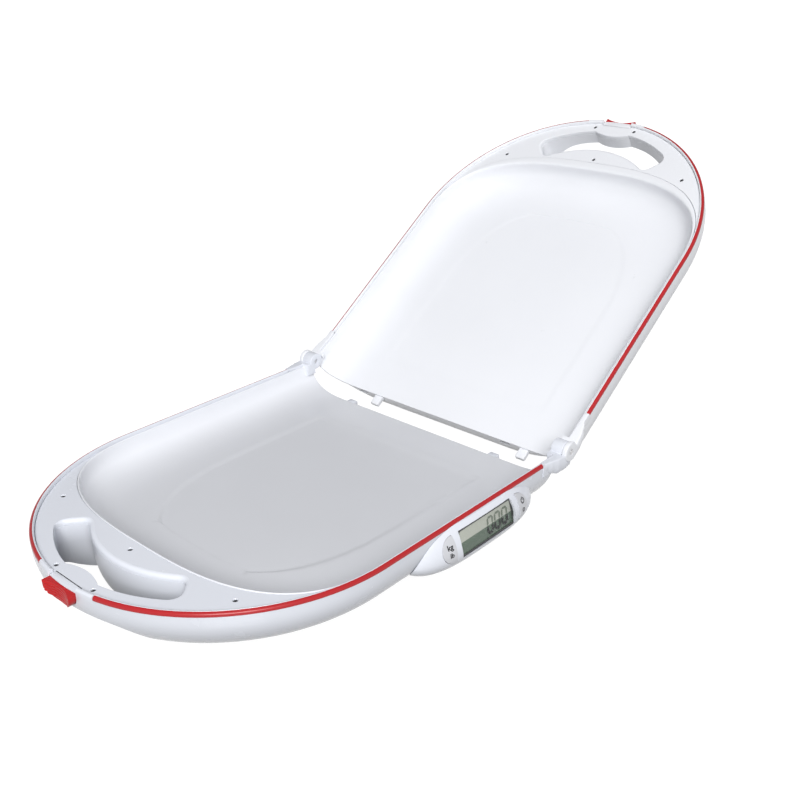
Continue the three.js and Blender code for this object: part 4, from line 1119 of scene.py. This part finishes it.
x, y = LCD_HALF
panel = bevelled(block((-x, -y, LCD_BACK), (x, y, LCD_FRONT)), 0.3, 2)
piece("lcd_panel", panel, POD_FACE, "base", lcd, ["lcd_module"])
piece("lcd_lower_bars", digits_mesh(False, LOWER_BAR), POD_FACE, "base", ink)
piece("lcd_upper_bars", digits_mesh(True, UPPER_BAR), POD_FACE, "base", faint_ink)
piece("lcd_frame", display_frame(), POD_FACE, "base", frame_dark)
mark("label_kg", text_mesh("kg", 6.2), -47.4, 1.6, "units_key")
mark("label_lb", text_mesh("lb", 5.6), -47.0, -5.2, "units_key")
mark("power_ring", ring_mesh(2.3, 0.9, math.radians(125), math.radians(415)), 48.0, 3.6, "power_key")
mark("power_bar", block((-0.42, 0.3, 0), (0.42, 3.1, PRINT_THICK)), 48.0, 3.6, "power_key")
mark("label_zero", ring_mesh(1.5, 0.8, 0, 2 * math.pi), 47.6, -4.6, "power_key")

# ---- Carried-over CAD pieces -------------------------------------------------
CARRIED = {
    "battery_box": white, "battery_door": white, "circuit_board": board,
    "base_load_cell_near": steel, "base_load_cell_far": steel,
    "lid_load_cell_near": steel, "lid_load_cell_far": steel,
    "battery_contact_near": nickel, "battery_contact_far": nickel,
    "battery_1": jacket, "battery_2": jacket, "battery_3": jacket, "battery_4": jacket,
}
for node, material in CARRIED.items():
    carried = frame["nodes"][node]
    carried.data.materials.clear()
    carried.data.materials.append(material)
    for polygon in carried.data.polygons:
        polygon.use_smooth = True
    carried.data.set_sharp_from_angle(angle=SHARP_ANGLE)
    soft = carried.modifiers.new("edges", "BEVEL")
    soft.width = 0.00025
    soft.segments = 2
    soft.limit_method = "ANGLE"
    soft.angle_limit = math.radians(40)


# ---- Floor and light ---------------------------------------------------------
def stage_material():
    material = bpy.data.materials.new("floor")
    material.use_nodes = True
    shader = material.node_tree.nodes["Principled BSDF"]
    shader.inputs["Base Color"].default_value = (0.15, 0.15, 0.15, 1)
    shader.inputs["Roughness"].default_value = 0.09
    shader.inputs["IOR"].default_value = 1.75
    shader.inputs["Emission Color"].default_value = (1, 1, 1, 1)
    shader.inputs["Emission Strength"].default_value = 0.93
    return material


FLOOR_HALF, FLOOR_DROP = 20, 0.0003
corners = [(x * FLOOR_HALF, y * FLOOR_HALF, 0) for x, y in ((-1, -1), (1, -1), (1, 1), (-1, 1))]
floor = bpy.data.objects.new("floor", mesh_of(corners, [(0, 1, 2, 3)]))
floor.data.materials.append(stage_material())
bpy.context.scene.collection.objects.link(floor)
floor.location.z = -FLOOR_DROP
floor.visible_diffuse = False  # a white floor would bleach the sides from below


def soft_light(place, target, size, watts):
    data = bpy.data.lights.new("key", "AREA")
    data.shape = "SQUARE"
    data.size = size
    data.energy = watts
    light = bpy.data.objects.new("key", data)
    bpy.context.scene.collection.objects.link(light)
    light.location = place
    light.rotation_euler = (Vector(target) - Vector(place)).to_track_quat("-Z", "Y").to_euler()


soft_light((-1.9, -1.75, 1.9), (0, 0, 0.05), 1.4, 98)

SKY = ((0.0, 0.06), (0.02, 0.42), (0.60, 0.42), (0.80, 0.26))  # height of the look up, and its brightness
SKY_BLUE = 1.03
world = bpy.data.worlds.new("studio")
bpy.context.scene.world = world
world.use_nodes = True
nodes, links = world.node_tree.nodes, world.node_tree.links
sky = nodes["Background"]
way = nodes.new("ShaderNodeTexCoord")
height = nodes.new("ShaderNodeSeparateXYZ")
glow = nodes.new("ShaderNodeValToRGB")
links.new(way.outputs["Generated"], height.inputs["Vector"])
links.new(height.outputs["Z"], glow.inputs["Fac"])
links.new(glow.outputs["Color"], sky.inputs["Color"])
ramp_stops(glow.color_ramp, [(up, (shade, shade, shade * SKY_BLUE)) for up, shade in SKY])
sky.inputs["Strength"].default_value = 1.0
bpy.context.scene.view_settings.view_transform = "Standard"
